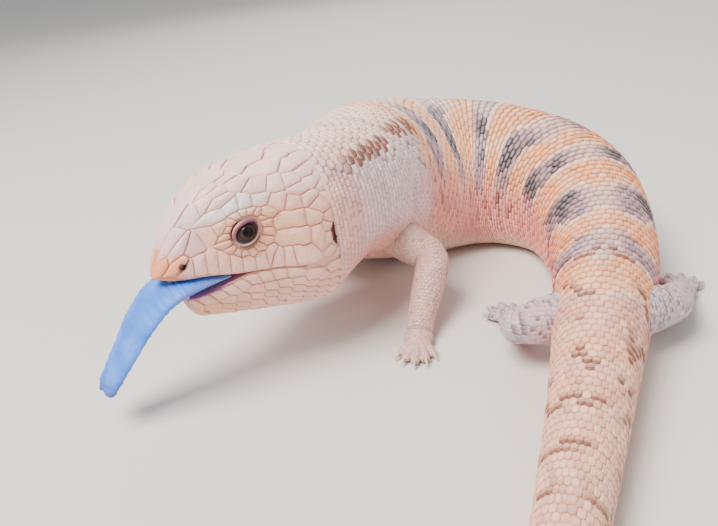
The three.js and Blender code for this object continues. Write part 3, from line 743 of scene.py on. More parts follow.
def eyeRing(count, wide, tall, name):
    # places on an oval round the eye, on the map
    middle = onMap(eye["back"] - 0.6, 18.5)
    girth = girthAt(eye["back"])
    for i in range(count):
        turn = i / count * math.tau
        x = math.cos(turn) * wide
        y = math.sin(turn) * tall
        tilt = math.radians(eye["tilt"])
        spot = middle + np.array([x * math.cos(tilt) - y * math.sin(tilt),
                                  x * math.sin(tilt) + y * math.cos(tilt)]) / girth
        yield (name + str(i) if name else None), spot


def lipRow(lipAt, backs, sign, name):
    def spot(back, way):
        edge = math.radians(float(lipAngle(back, lipAt)))
        return np.array([onMap(back, 0)[0], edge + way * labials["half"] / girthAt(back)])
    # nothing grows past the lip: bare places mirror the row
    row = [(name + str(i), spot(back, sign)) for i, back in enumerate(backs)]
    return row + [(None, spot(back, -sign)) for back in np.arange(0.5, 70, 1.6)]


# where the rows of lesser scales start and end, the bare places behind them, and their spacing
lesser = {"start": 3.0, "end": 62.0, "bare": 2.4, "apart": 0.8, "rows": 0.86}


def fillSeeds(seeds, lowAt, highAt, pitch, name):
    # rows of lesser scales wherever no named one stands
    taken = [point for group, point in seeds]
    added = []
    back = lesser["start"]
    row = 0
    while back < lesser["end"]:
        girth = girthAt(back)
        angle = lowAt(back) + (row % 2) * 0.5 * math.degrees(pitch(back) / girth)
        while angle < highAt(back):
            spot = onMap(back, angle)
            near = np.array(taken + [point for group, point in added])
            gap = np.min(np.hypot(*((near - spot) * [shieldEdge["stretch"], 1]).T)) * girth
            if gap > pitch(back) * lesser["apart"]:
                bare = back > lesser["end"] - lesser["bare"]
                group = None if bare else f"{name}{row}x{len(added)}"
                added.append((group, spot))
            angle += math.degrees(pitch(back) / girth)
        back += pitch(back) * lesser["rows"] / shieldEdge["stretch"]
        row += 1
    return seeds + added


def shieldCell(point, others, girth):
    # the part of a disc that lies nearer to this place than to any other
    bm = bmesh.new()
    reach = shieldEdge["reach"] / girth
    bmesh.ops.create_circle(bm, cap_ends=True, segments=14, radius=reach,
                            matrix=Matrix.Translation((point[0], point[1], 0)))
    gaps = np.hypot(*(others - point).T)
    order = np.argsort(gaps)
    for i in order[1:22]:
        if gaps[i] > 2 * reach:
            break
        middle = (point + others[i]) / 2
        away = others[i] - point
        bmesh.ops.bisect_plane(bm, geom=bm.verts[:] + bm.edges[:] + bm.faces[:], dist=1e-7,
                               plane_co=(middle[0], middle[1], 0), plane_no=(away[0], away[1], 0),
                               clear_outer=True)
    return bm


def raiseShield(bm, girth):
    # from a flat outline to a domed plate with a rounded rim and a sunken root
    bmesh.ops.remove_doubles(bm, verts=bm.verts, dist=0.05 / girth)
    inner = [edge for edge in bm.edges if len(edge.link_faces) == 2]
    bmesh.ops.dissolve_edges(bm, edges=inner, use_verts=False)
    for longest in (1.1, 1.3):
        edges = [edge for edge in bm.edges if edge.calc_length() * girth > longest]
        bmesh.ops.subdivide_edges(bm, edges=edges, cuts=1)
    faces = bm.faces[:]
    width = min(1.0, math.sqrt(max(sum(face.calc_area() for face in faces), 1e-9)) * girth / 3.2)
    bmesh.ops.inset_individual(bm, faces=faces, thickness=shieldEdge["seam"] / girth, depth=0)
    rim = [face for face in bm.faces if face not in faces]
    bmesh.ops.delete(bm, geom=rim, context="FACES")
    for vert in bm.verts:
        vert.co.z = shieldEdge["root"]
    result = bmesh.ops.extrude_face_region(bm, geom=faces, use_keep_orig=True)
    top = [item for item in result["geom"] if isinstance(item, bmesh.types.BMFace)]
    for face in top:
        for vert in face.verts:
            vert.co.z = -0.25
    rings = [(inset * width / girth, None, height * (0.5 + 0.5 * width))
             for inset, height in shieldEdge["steps"]]
    crown = shieldEdge["dome"] * (0.45 + 0.55 * width)
    rings += [(0, share, crown) for share in shieldEdge["shares"]]
    for distance, share, height in rings:
        # each ring is the face again, drawn in towards its middle
        inset = bmesh.ops.extrude_face_region(bm, geom=top)
        bmesh.ops.delete(bm, geom=top, context="FACES_KEEP_BOUNDARY")
        top = [item for item in inset["geom"] if isinstance(item, bmesh.types.BMFace)]
        for face in top:
            middle = face.calc_center_median()
            for vert in face.verts:
                gap = middle - vert.co
                gap.z = 0
                reach = share if share else min(distance / max(gap.length, 1e-9), 0.45)
                vert.co += gap * reach
                vert.co.z = height
    poked = bmesh.ops.poke(bm, faces=top)
    for vert in poked["verts"]:
        vert.co.z = crown


def shieldColour(name, back, angle):
    colour = bodyMarking(back, angle)
    bare = name.replace("Right", "")
    if bare in ("rostral", "nasal"):
        colour = tint["rostral"] * 0.97 + tint["headTop"] * 0.03
    if bare.startswith("brow"):
        colour = mix(colour, tint["brow"], 0.55)
    if bare.startswith("upperLabial") or bare.startswith("lowerLabial"):
        colour = mix(colour, tint["lip"], 0.6)
    return colour


def scrapMesh(bm):
    mesh = bpy.data.meshes.new("scrap")
    bm.to_mesh(mesh)
    bm.free()
    return mesh


def buildShields(name, seeds, rng):
    seeds = list(bothSides(seeds))
    points = np.array([point for group, point in seeds])
    groups = {}
    for i, (group, point) in enumerate(seeds):
        if group is not None:
            groups.setdefault(group, []).append(i)
    whole = bmesh.new()
    owner = []
    roots = []
    heights = []
    squeezed = points * np.array([shieldEdge["stretch"], 1])
    for group, members in groups.items():
        joined = bmesh.new()
        for i in members:
            back = float(np.interp(points[i][0], mapAlong, mapBacks))
            cell = shieldCell(squeezed[i], squeezed, girthAt(back))
            for vert in cell.verts:
                vert.co.x /= shieldEdge["stretch"]
            scrap = scrapMesh(cell)
            joined.from_mesh(scrap)
            bpy.data.meshes.remove(scrap)
        if not joined.faces:
            joined.free()
            continue
        middle = points[members].mean(axis=0)
        back = float(np.interp(middle[0], mapAlong, mapBacks))
        raiseShield(joined, girthAt(back))
        scrap = scrapMesh(joined)
        lift = rng.normal(0, 0.04)
        places = readVerts(scrap)
        heights.append(places[:, 2].copy())
        behind = np.clip((places[:, 0] - middle[0]) * girthAt(back), -3, 3)
        raised = places[:, 2] > -0.3
        bulge = shieldEdge["bulges"].get(group.replace("Right", ""), 0)
        places[:, 2] += lift + shieldEdge["tilt"] * behind * raised + bulge * smoothStep(
            places[:, 2], 0.1, 0.5)
        places[:, 0] += 0.28 / girthAt(back) * smoothStep(behind, 0.2, 2) * raised * float(
            smoothStep(back, 7, 12))
        writeVerts(scrap, places)
        whole.from_mesh(scrap)
        owner += [len(roots)] * len(scrap.vertices)
        colour = shieldColour(group, np.array(back), np.array(math.degrees(middle[1])))
        roots.append((back, math.degrees(middle[1]), colour * (1 + rng.normal(0, 0.02))))
        bpy.data.meshes.remove(scrap)
    bmesh.ops.recalc_face_normals(whole, faces=whole.faces)
    piece = newObject(name, whole)
    flat = readVerts(piece.data)
    backs = np.interp(flat[:, 0], mapAlong, mapBacks)
    sunken = 0.75 * smoothStep(backs, 53, 60)
    writeVerts(piece.data, bodyPoints(backs, np.degrees(flat[:, 1]), flat[:, 2] - 0.15 - sunken))
    rootBacks, rootAngles, rootColours = [np.array(values)[owner] for values in zip(*roots)]
    colour = rootColours * 0.6 + bodyMarking(backs, np.degrees(flat[:, 1])) * 0.4
    # painted shade in the seams: the low rims and roots of the shields take the groove shade
    seamShadeShare = smoothStep(np.concatenate(heights), 0.22, -0.1)
    colourLayer(piece.data, mix(colour, colour * tint["groove"], seamShadeShare * 0.62))
    bakeMap(piece, rootBacks / 90, (rootAngles % 360) / 360,
            (flat[:, 0] - np.interp(rootBacks, mapBacks, mapAlong)) * 20,
            (flat[:, 1] - np.radians(rootAngles)) * 20)
    bm = bmesh.new()
    bm.from_mesh(piece.data)
    bmesh.ops.recalc_face_normals(bm, faces=bm.faces)
    bm.to_mesh(piece.data)
    bm.free()
    return piece


def bakeMap(piece, rootU, rootV, offU, offV):
    # every scale has a small patch at its root's place on the body's unwrap
    half = 0.0015
    edge = 0.004
    layer = piece.data.uv_layers.new(name="OFBake")
    corner = np.zeros(len(piece.data.loops), int)
    piece.data.loops.foreach_get("vertex_index", corner)
    u, v = [np.clip(root, edge, 1 - edge) + half * np.clip(off / 3, -1, 1)
            for root, off in ((rootU, offU), (rootV, offV))]
    layer.data.foreach_set("uv", np.stack([u[corner], v[corner]], -1).ravel())


def namedSeeds(table):
    return [(name, onMap(back, angle)) for name, middles in table.items() for back, angle in middles]


def headSeeds():
    seeds = namedSeeds(shields)
    seeds += lipRow(upperLipAt, labials["upper"], 1, "upperLabial")
    seeds += list(eyeRing(17, 5.9, 4.7, "lidScale"))
    seeds += list(eyeRing(20, 4.5, 3.4, None))
    seeds += [(None, onMap(eye["back"], 18)), (None, onMap(ear["back"], ear["angle"]))]
    for turn in range(0, 360, 36):
        across = math.cos(math.radians(turn))
        upward = math.sin(math.radians(turn))
        seeds.append((None, onMap(ear["back"] + 1.3 * across, ear["angle"] + 4.5 * upward)))
        seeds.append((f"earScale{turn}", onMap(ear["back"] + 3.0 * across, ear["angle"] + 9 * upward)))
    for back, angle in shields["rostral"]:
        # the front scale ends at the very tip
        seeds.append((None, onMap(back, angle) * [-1, 1]))
    return fillSeeds(seeds, lambda back: float(lipAngle(back, upperLipAt)) + 5, lambda back: 89.0,
                     lambda back: 4.3 if back < 34 else 4.1, "lesser")


def chinSeeds():
    seeds = namedSeeds(chinShields) + lipRow(lowerLipAt, labials["lower"], -1, "lowerLabial")
    return fillSeeds(seeds, lambda back: -89.0, lambda back: float(lipAngle(back, lowerLipAt)) - 6,
                     lambda back: 4.0 if back < 44 else 3.6, "throat")


def darken(piece, spot, reach, colour):
    # painted shade on the walls of a hollow
    layer = piece.data.color_attributes["marking"]
    values = np.zeros(len(piece.data.vertices) * 4)
    layer.data.foreach_get("color", values)
    values = values.reshape(-1, 4)
    gap = np.linalg.norm(readVerts(piece.data) - np.array(spot), axis=1) / mm
    share = smoothStep(gap, reach[1], reach[0])[:, None]
    values[:, :3] = values[:, :3] * (1 - share) + colour * share
    values[:, 3] = 1
    layer.data.foreach_set("color", values.ravel())


print("head shields")
shieldDraws = np.random.default_rng(7)
headShields = buildShields("headShields", headSeeds(), shieldDraws)
chinPlates = buildShields("chinShields", chinSeeds(), shieldDraws)
for side in (1, -1):
    spot = openingSpot(nostril, side)
    joinBoolean(headShields, ball("nose", spot, nostril["radii"], 10), "DIFFERENCE")
    # painted shade inside the nostril, on skin and shields
    for piece in [skin, headShields]:
        darken(piece, spot, (1.15, 1.75), linear("6d3b34"))

# body scales
scale = {"cells": (4, 5), "thick": 0.42, "root": -0.5, "lift": 0.42, "overlap": 1.55, "sink": 0.12,
         "perPiece": 1600, "finePitch": 0.68, "fineCount": 1.6, "fineThick": 0.5}
rowPitch = smoothCurve([(58, 2.2), (90, 2.4), (130, 2.8), (180, 3.0), (300, 2.8), (400, 2.5),
                        (480, 2.1), (525, 1.7)])
# from, to, and scales round the body
scaleZones = [(56, 120, 42), (120, 214, 44), (214, 318, 42), (318, 400, 34), (400, 460, 26),
              (460, 500, 18), (500, 523, 12)]


def scaleTemplate():
    # one scale in its own measures: x across -1 to 1, y from root 0 to free edge 1, z millimetres
    bm = bmesh.new()
    bmesh.ops.create_grid(bm, x_segments=scale["cells"][0], y_segments=scale["cells"][1], size=1)
    for vert in bm.verts:
        a = vert.co.x
        s = (vert.co.y + 1) / 2
        fan = math.sqrt(max(1 - (abs(a) * 0.86) ** 2.6, 0))
        along = s * (0.62 + 0.38 * fan) + (1 - s) * 0.06 * (1 - fan)
        wide = 0.8 + 0.2 * math.sin(min(s * 1.9, 1) * math.pi / 2)
        rise = scale["root"] + (scale["lift"] - scale["root"]) * (1 - (1 - min(s * 1.12, 1)) ** 1.8)
        dome = -0.2 * a * a - 0.12 * max(s - 0.86, 0) / 0.14
        vert.co = Vector((a * wide, along, rise + dome))
    bottom = bmesh.ops.extrude_face_region(bm, geom=bm.faces[:], use_keep_orig=True)
    for item in bottom["geom"]:
        if isinstance(item, bmesh.types.BMVert):
            item.co.z -= scale["thick"]
            item.co.x *= 0.96
    bmesh.ops.recalc_face_normals(bm, faces=bm.faces)
    return newObject("scaleTemplate", bm)


def arrayed(name, template, count):
    piece = bpy.data.objects.new(name, template.data.copy())
    bpy.context.scene.collection.objects.link(piece)
    array = piece.modifiers.new("array", "ARRAY")
    array.fit_type = "FIXED_COUNT"
    array.count = count
    array.use_relative_offset = False
    applyModifiers(piece)
    return piece


template = scaleTemplate()
templateShape = readVerts(template.data)


# what a row of roots says of its scale, the last two being random draws
rootColumns = ("start", "angle", "long", "half", "thick", "lift", "shade", "chance")


def coat(name, roots, place, colours, spots):
    # one row of roots and one spot for the bake per scale
    piece = arrayed(name, template, len(roots))
    shape = dict(zip(("across", "along", "rise"), np.tile(templateShape, (len(roots), 1)).T))
    each = dict(zip(rootColumns, np.repeat(np.asarray(roots), len(templateShape), axis=0).T))
    writeVerts(piece.data, place(each, shape))
    colourLayer(piece.data, colours(each, shape))
    rootU, rootV = np.repeat(np.asarray(spots), len(templateShape), axis=0).T
    bakeMap(piece, rootU, rootV, shape["across"] * 3, (shape["along"] - 0.5) * 6)
    return piece


def bakePlaces(roots, long, start=0.0):
    # places on the unwrap, of which long in the roots' own unit fills the width
    return [(start + root[0] / long, (root[1] % 360) / 360) for root in roots]


def fineZone(back, angle):
    # where the scales are half the size: the sides of the neck and round the forelimb
    side = fromCrown(angle)
    ragged = 5 * softNoise(back / 3, angle / 7, 50)
    return (back < 110 - 0.25 * np.abs(side - 95) + ragged) & (side > 56 + ragged) & (side < 140)


def staggered(row, column, count):
    return (column + 0.5 * (row % 2)) * 360 / count


def bodyRoots(start, end, columns, rng, fine):
    roots = []
    back = start
    row = 0
    while back < end:
        pitch = float(rowPitch(back)) * (scale["finePitch"] if fine else 1)
        count = int(columns * scale["fineCount"]) if fine else columns
        thick = float(np.interp(back, [60, 120, 270, 340, 525], [0.7, 0.95, 0.9, 0.6, 0.3]))
        for column in range(count):
            angle = (staggered(row, column, count) + 90) % 360
            if bool(fineZone(back, angle)) != fine:
                continue
            lift = -0.12 if fromCrown(angle) > 150 and back > 125 else 0    # pressed flat on the belly
            roots.append((back, angle, pitch * scale["overlap"], 360 / count * 0.56,
                          (scale["fineThick"] if fine else 1) * thick,
                          lift + rng.normal(0, 0.03), rng.normal(0, 1), rng.normal(0, 1)))
        back += pitch
        row += 1
    return roots


def scaleOnBody(each, shape):
    back = each["start"] + shape["along"] * each["long"]
    angle = each["angle"] + shape["across"] * each["half"] * (1 + 0.03 * each["chance"])
    height = shape["rise"] * each["thick"] + each["lift"] - scale["sink"]
    tilt = 0.07 * each["shade"] * shape["across"] * shape["along"] * each["thick"]
    return bodyPoints(np.minimum(back, body["totalLength"]), angle, height + tilt)


def scaleColours(each, shape):
    back, along = each["start"], shape["along"]
    across = np.abs(shape["across"])
    colour = bodyMarking(back + 0.6 * each["long"], each["angle"]) * (1 + 0.08 * each["shade"])[:, None]
    side = fromCrown(each["angle"])
    trunk = smoothStep(side, 120, 80) * smoothStep(back, 360, 280)
    # painted shade with a warm tint along each scale's free edge, where it meets the groove
    warmEdgeShade = mix(colour, colour * tint["groove"] * 1.1, (0.15 + 0.35 * trunk) * smoothStep(along, 0.72, 1.0))
    # a painted highlight across the middle of each scale
    withHighlight = mix(warmEdgeShade, 0.86, smoothStep(across, 0.9, 0.2) * bump(along, 0.62, 0.22) * 0.26)
    # ink on the free edge, over more of each scale on the tail
    low = 0.66 - 0.34 * smoothStep(back, 122, 112) - 0.2 * smoothStep(back, 280, 300)
    rim = np.maximum(smoothStep(along - low, 0, 0.25), smoothStep(across, 0.6, 0.8) * 0.5)
    marked = tipMarking(back, each["angle"])
    tip = np.maximum(marked * rim, marked * 0.25 * smoothStep(back, 280, 300))
    ink = mix(tint["rust"], tint["dark"], smoothStep(each["chance"], 0.1, 0.9) * 0.8)
    ink = mix(ink, tint["bar"], smoothStep(back, 120, 200))
    withHighlight = mix(withHighlight, ink, tip * 0.85 * smoothStep(side, 150, 120))
    shade = 1 - 0.42 * smoothStep(along, 0.5, 0.15)
    return withHighlight * shade[:, None]


print("body scales")
scaleDraws = np.random.default_rng(11)
coatPieces = []
for number, (start, end, columns) in enumerate(scaleZones):
    roots = bodyRoots(start, end, columns, scaleDraws, False)
    if start < 120:
        roots += bodyRoots(start, end, columns, scaleDraws, True)
    spots = bakePlaces(roots, 530)
    for first in range(0, len(roots), scale["perPiece"]):
        some = slice(first, first + scale["perPiece"])
        name = f"scales{number}_{first // scale['perPiece']}"
        coatPieces.append(coat(name, roots[some], scaleOnBody, scaleColours, spots[some]))


limbScale = {"wide": 1.7, "long": 1.35, "thick": 0.4, "leastRound": 14}


def limbRoots(name, rng):
    setting = settings[name]
    roots = []
    s = 3.0
    row = 0
    while s < setting["length"]:
        radius = float(np.interp(s, setting["s"], setting["radius"]))
        count = max(limbScale["leastRound"], int(math.tau * radius / limbScale["wide"]))
        thinning = float(np.interp(s, [setting["length"] - 6, setting["length"]], [1, 0.35]))
        thick = limbScale["thick"] * thinning
        for column in range(count):
            angle = staggered(row, column, count)
            roots.append((s, angle, limbScale["long"] * scale["overlap"], 360 / count * 0.57, thick,
                          rng.normal(0, 0.03), rng.normal(0, 1), rng.normal(0, 1)))
        s += limbScale["long"]
        row += 1
    return roots


def scaleOnLimb(setting):
    def place(each, shape):
        s = np.minimum(each["start"] + shape["along"] * each["long"], setting["length"])
        angle = each["angle"] + shape["across"] * each["half"]
        ending = wristCap(s / setting["length"])
        radius = np.interp(s, setting["s"], setting["radius"]) * (ending - 1)
        height = radius + shape["rise"] * each["thick"] + each["lift"] - scale["sink"]
        return limbPoints(setting, s, angle, height)
    return place


def limbScaleColours(name):
    fore = name.startswith("fore")

    def colours(each, shape):
        colour = limbMarking(np.full(len(each["start"]), fore), each["start"], each["angle"])
        few, many = (1.3, 1.9) if fore else (0.15, 0.9)
        speckled = smoothStep(each["chance"], few, many) * smoothStep(shape["along"], 0.45, 0.7)
        colour = mix(colour, tint["speck"], speckled * (0.35 if fore else 0.7))
        shade = 1 - 0.25 * smoothStep(shape["along"], 0.4, 0.1)
        return colour * (1 + 0.045 * each["shade"])[:, None] * shade[:, None]
    return colours


print("limb scales")
for name, setting in settings.items():
    roots = limbRoots(name, scaleDraws)
    spots = bakePlaces(roots, 90)
    coatPieces.append(coat(name + "Scales", roots, scaleOnLimb(setting), limbScaleColours(name), spots))


def palmRoots(foot, rng):
    rows = []
    for row, rise in enumerate(range(80, 0, -11)):
        count = max(3, int(math.tau * foot["palm"] * math.cos(math.radians(rise)) / limbScale["wide"]))
        for column in range(count):
            rows.append((rise, staggered(row, column, count), 17, 180 / count * 1.15, 0.3,
                         0, rng.normal(0, 1), rng.normal(0, 1)))
    return rows


def scaleOnPalm(setting, foot):
    def place(each, shape):
        rise = np.radians(np.maximum(each["start"] - shape["along"] * each["long"], -8))
        turn = np.radians(each["angle"] + shape["across"] * each["half"])
        grow = shape["rise"] * each["thick"] - 0.02
        palm = setting["joints"][3]
        flat = (foot["palm"] + grow) * np.cos(rise)
        height = palm[2] * (1 + np.sin(rise) * 1.05) + grow * np.sin(rise)
        return np.stack([palm[0] + np.cos(turn) * flat, palm[1] + np.sin(turn) * flat,
                         np.maximum(height, floorGap)], -1) * mm
    return place


def toeScaleRoots(reach, rng):
    rows = []
    along = -0.1
    row = 0
    while along < 0.9:
        for column in range(6):
            angle = -10 + staggered(row, column, 10)
            rows.append((along, angle, 1.9 / reach * 1.3, 21, 0.32, rng.normal(0, 0.02),
                         rng.normal(0, 1), rng.normal(0, 1)))
        along += 1.5 / reach
        row += 1
    return rows


def scaleOnToe(root, heading, foot, reach):
    def place(each, shape):
        along = np.minimum(each["start"] + shape["along"] * each["long"], 1.08)
        angle = each["angle"] + shape["across"] * each["half"]
        return toePoints(root, heading, foot, reach, along, angle, shape["rise"] * each["thick"] + 0.02)
    return place


def clawPlace(root, heading, foot, reach):
    def place(u, v):
        ahead, across = toeAxes(heading)
        along = reach * 0.98 + u * 3.4
        size = foot["toeRadius"] * 0.46 * np.sqrt(np.clip(1 - u, 0, 1)) + 0.05
        rise = 1.85 + 0.45 * np.sin(u * math.pi * 0.9) - 1.25 * u * u
        point = root + ahead * along[:, None] + across * (np.cos(v * math.tau) * size * 0.7)[:, None]
        point[:, 2] = np.maximum(rise + np.sin(v * math.tau) * size * 1.25, floorGap)
        return point * mm
    return place


clawPieces = []
toeCoats = []
for name, setting in settings.items():
    foot = feet[limbs[name]["foot"]]
    rows = palmRoots(foot, scaleDraws)
    spots = bakePlaces(rows, 900, 0.8)
    toeCoats.append(coat(name + "Palm", rows, scaleOnPalm(setting, foot), limbScaleColours(name), spots))
    for root, heading, reach in toeRoots(setting, foot):
        rows = toeScaleRoots(reach, scaleDraws)
        spots = [(0.9 + 0.1 * row[0] % 1, (row[1] % 360) / 360) for row in rows]
        toeCoats.append(coat(name + "Toe", rows, scaleOnToe(root, heading, foot, reach),
                             limbScaleColours(name), spots))
        clawPieces.append(tube("claw", 10, 12, clawPlace(root, heading, foot, reach)))

claws = joinPieces("claws", clawPieces)
coatPieces.append(joinPieces("toeScales", toeCoats))
bpy.data.objects.remove(template)

# eyes
lids = {"thick": 0.36, "wide": 4.1, "tall": 2.85, "stand": 0.1}


def eyeAxes(side):
    # out of the eye, along its lids towards the ear, and up
    backward = Vector((math.cos(headTurn), math.sin(headTurn), 0))
    leftward = Vector((math.sin(headTurn), -math.cos(headTurn), 0)) * side
    out = (leftward + Vector((0, 0, 0.30)) - backward * 0.22).normalized()
    along = (backward - out * backward.dot(out)).normalized()
    upward = along.cross(out) if side < 0 else out.cross(along)
    if upward.z < 0:
        upward = -upward
    cos = math.cos(math.radians(eye["tilt"]))
    sin = math.sin(math.radians(eye["tilt"]))
    return out, along * cos + upward * sin, upward * cos - along * sin


def makeEye(side):
    centre = eyeCentre(side)
    out, along, upward = eyeAxes(side)
    bm = bmesh.new()
    bmesh.ops.create_uvsphere(bm, u_segments=96, v_segments=64, radius=1)
    basis = Matrix((along, upward, out)).transposed().to_4x4()
    bmesh.ops.transform(bm, matrix=Matrix.Translation(centre) @ basis @ Matrix.Scale(
        eye["radius"] * mm, 4), verts=bm.verts)
    piece = newObject("eyeLeft" if side > 0 else "eyeRight", bm)
    places = readVerts(piece.data)
    away = (places - np.array(centre)) / (eye["radius"] * mm)
    facing = away @ np.array(out)
    ring = np.degrees(np.arccos(np.clip(facing, -1, 1)))
    # the clear front stands a little proud of the ball
    proud = 0.35 * mm * smoothStep(ring, 34, 10)
    writeVerts(piece.data, places + away * proud[:, None])
    turn = np.arctan2(away @ np.array(upward), away @ np.array(along))
    streak = softNoise(turn * 9, ring / 6, 40)
    # iris with streaks, a paler ring round the pupil, the rim, and the pupil
    colour = mix(linear("1d1311"), linear("3a2a26"), smoothStep(ring, 20, 30) * (0.75 + 0.3 * streak))
    colour = mix(colour, linear("6a5348"), bump(ring, 25, 2.5) * 0.35)
    colour = mix(colour, linear("4a3f40"), smoothStep(ring, 36, 44))
    colour = mix(colour, linear("050404"), smoothStep(ring, 17, 14))
    colourLayer(piece.data, colour)
    return piece


def makeLids(side):
    centre = np.array(eyeCentre(side))
    out, along, upward = [np.array(axis) for axis in eyeAxes(side)]

    def place(u, v):
        turn = u * math.tau
        # an almond: pointed in front, rounder behind
        x = np.cos(turn) * lids["wide"]
        y = np.sin(turn) * lids["tall"] * (1 - 0.16 * np.cos(turn)) * np.abs(np.sin(turn)) ** 0.12
        reach = np.hypot(x, y) / (eye["radius"] + 0.5)
        depth = np.sqrt(np.clip(1 - reach ** 2, 0.04, 1)) * (eye["radius"] + 0.45)
        thick = lids["thick"] * (1 + 0.35 * np.sin(turn))
        radial = np.stack([np.cos(turn), np.sin(turn)], -1)
        swing = v * math.tau
        offset = np.cos(swing) * thick * 1.5
        lift = np.sin(swing) * thick
        px = x + radial[:, 0] * (offset + 0.5)
        py = y + radial[:, 1] * (offset + 0.5)
        pz = depth + lift + lids["stand"] - 0.28 * offset
        return centre + (along * px[:, None] + upward * py[:, None] + out * pz[:, None]) * mm
    bm = rolledGrid(96, 16, place, 2e-6)
    bmesh.ops.recalc_face_normals(bm, faces=bm.faces)
    piece = newObject("lidsLeft" if side > 0 else "lidsRight", bm)
    places = readVerts(piece.data)
    high = (places - centre) @ upward / mm
    wide = (places - centre) @ along / mm
    inner = np.hypot(high / lids["tall"], wide / lids["wide"])
    colour = mix(linear("a3928a"), linear("83586a"), smoothStep(high, -0.6, 1.2))
    colour = mix(colour, tint["socket"], smoothStep(inner, 1.28, 1.42))
    colour = mix(colour, linear("4a3038"), smoothStep(inner, 1.14, 1.0) * 0.85)
    colourLayer(piece.data, colour)
    return piece


print("eyes")
eyes = {side: makeEye(side) for side in (1, -1)}
lidPieces = {side: makeLids(side) for side in (1, -1)}

# tongue and lining of the mouth
tongueShape = {    # back, up, half width and thickness from root to tip, and the lean to one side
    "path": [(22, -3.4, 11.5, 2.6), (14, -3.1, 11.8, 3.8), (7, -3.6, 11.2, 4.8), (1, -5.6, 10.4, 5.4),
             (-6.5, -12, 9.4, 5), (-13.5, -21, 7.8, 4.4), (-20, -29.5, 6.4, 4),
             (-23.5, -34.5, 5.8, 3.2)],
    "lean": 7,
}


def tongueTable():
    rows = np.array(tongueShape["path"], float)
    t = np.linspace(0, 1, len(rows))
    dense = np.linspace(0, 1, 201)
    curve = [smoothCurve(list(zip(t, rows[:, k])))(dense) for k in range(4)]
    kernel = np.ones(15) / 15
    curve = [np.convolve(np.pad(c, 7, "edge"), kernel, "valid") for c in curve]
    return dense, curve


def makeTongue():
    dense, (backs, ups, widths, thicks) = tongueTable()
    slopeBack = np.gradient(backs)
    slopeUp = np.gradient(ups)
    size = np.hypot(slopeBack, slopeUp)

    def place(u, v):
        curves = (backs, ups, widths, thicks, slopeBack / size, slopeUp / size)
        back, up, wide, thick, alongBack, alongUp = [np.interp(u, dense, curve) for curve in curves]
        turn = v * math.tau
        tip = np.sqrt(np.clip(1 - (np.clip(u - 0.9, 0, 1) / 0.1) ** 2, 0.0, 1))
        cos, sin = np.cos(turn), np.sin(turn)
        across = np.sign(cos) * np.abs(cos) ** 0.8 * wide * (0.25 + 0.75 * tip)
        out = sin * thick * 0.5 * (0.15 + 0.85 * tip)
        lean = tongueShape["lean"] * smoothStep(u, 0.3, 1)
        groove = -0.5 * np.exp(-(across / 1.6) ** 2) * (sin > 0) * smoothStep(u, 0.3, 0.6)
        # cross folds, closer together towards the tip
        fold = 0.13 * np.sin(u * 150 + 1.2 * np.sin(across * 0.5)) * smoothStep(u, 0.15, 0.4)
        fold += 0.28 * np.sin(u * 60 + across * 0.25) * smoothStep(u, 0.72, 0.95)
        velvet = 0.07 * softNoise(across * 2.4, u * 210, 50)
        out = out + np.sign(sin) * (fold + velvet) * np.abs(sin) ** 0.5 + groove
        notch = 2.2 * np.exp(-(across / 1.5) ** 2) * smoothStep(u, 0.93, 1)
        return headFrame(back - alongUp * out - alongBack * notch, across - lean,
                         up + alongBack * out - alongUp * notch)
    piece = tube("blueTongue", 190, 120, place)
    spots = readVerts(piece.data)
    local = spots / mm + (restX, restY, -body["mouthHeight"])
    back = local[:, 0] * math.cos(headTurn) + local[:, 1] * math.sin(headTurn)
    left = local[:, 0] * math.sin(headTurn) - local[:, 1] * math.cos(headTurn)
    down = np.clip(-(local[:, 2] + 3.5) / 31, 0, 1)
    lean = tongueShape["lean"] * smoothStep(down, 0.1, 1)
    # painted shade, greyer and purpler, along the tongue's rounded edges
    rim = smoothStep(np.abs(left + lean) / np.interp(down, [0, 1], [11, 6.4]), 0.82, 1.02)
    mottle = smoothStep(softNoise(left / 2, local[:, 2] / 2, 60), -1, 1)
    colour = mix(linear("7a9de6"), linear("6589d8"), mottle)
    colour = mix(colour, linear("6a6f9c"), rim * 0.5)
    colour = mix(colour, linear("56588c"), smoothStep(down, 0.76, 0.93) * 0.7)
    colour = mix(colour, linear("7f94c4"), smoothStep(back, 8, 20) * 0.6)
    colourLayer(piece.data, colour)
    return piece


def makeLining():
    # the wet pads of palate and mouth floor, a little inside the lips
    pads = []
    for name, lipAt, sign, front, setback in (("palate", upperLipAt, 1, 2.5, 0),
                                              ("floor", lowerLipAt, -1, 6.5, mouth["jawSetback"])):
        def place(u, v):
            back = front + u * (mouth["corner"] - front + 0.5)
            turn = v * math.tau
            edge = np.radians(lipAngle(back, lipAt))
            nose = np.sqrt(1 - (1 - np.clip((back - setback) / body["noseRounding"], 0, 1)) ** 2)
            square = squareBelowAt(back)
            width = halfWidthAt(back) * nose * np.abs(np.cos(edge)) ** (2 / square) - 1.0
            taper = np.sqrt(np.clip(u / 0.06, 0.02, 1))
            across = np.sign(np.cos(turn)) * np.abs(np.cos(turn)) ** 0.6 * np.maximum(width, 0.5) * taper
            bulge = np.where(sign * np.sin(turn) < 0, 0.55, 1.2)
            up = lipAt(back) + sign * 0.25 + np.sin(turn) * bulge
            return headFrame(back, across, up)
        pads.append(tube(name, 60, 40, place))
    return joinPieces("mouthLining", pads)


print("mouth")
tongue = makeTongue()
lining = makeLining()


eardrum = {"depth": 2.6, "radii": (1.9, 0.9, 3.4)}
eardrums = joinPieces("eardrums", [ball("eardrum", openingSpot(ear, side, eardrum["depth"]),
                                        eardrum["radii"], 12) for side in (1, -1)])


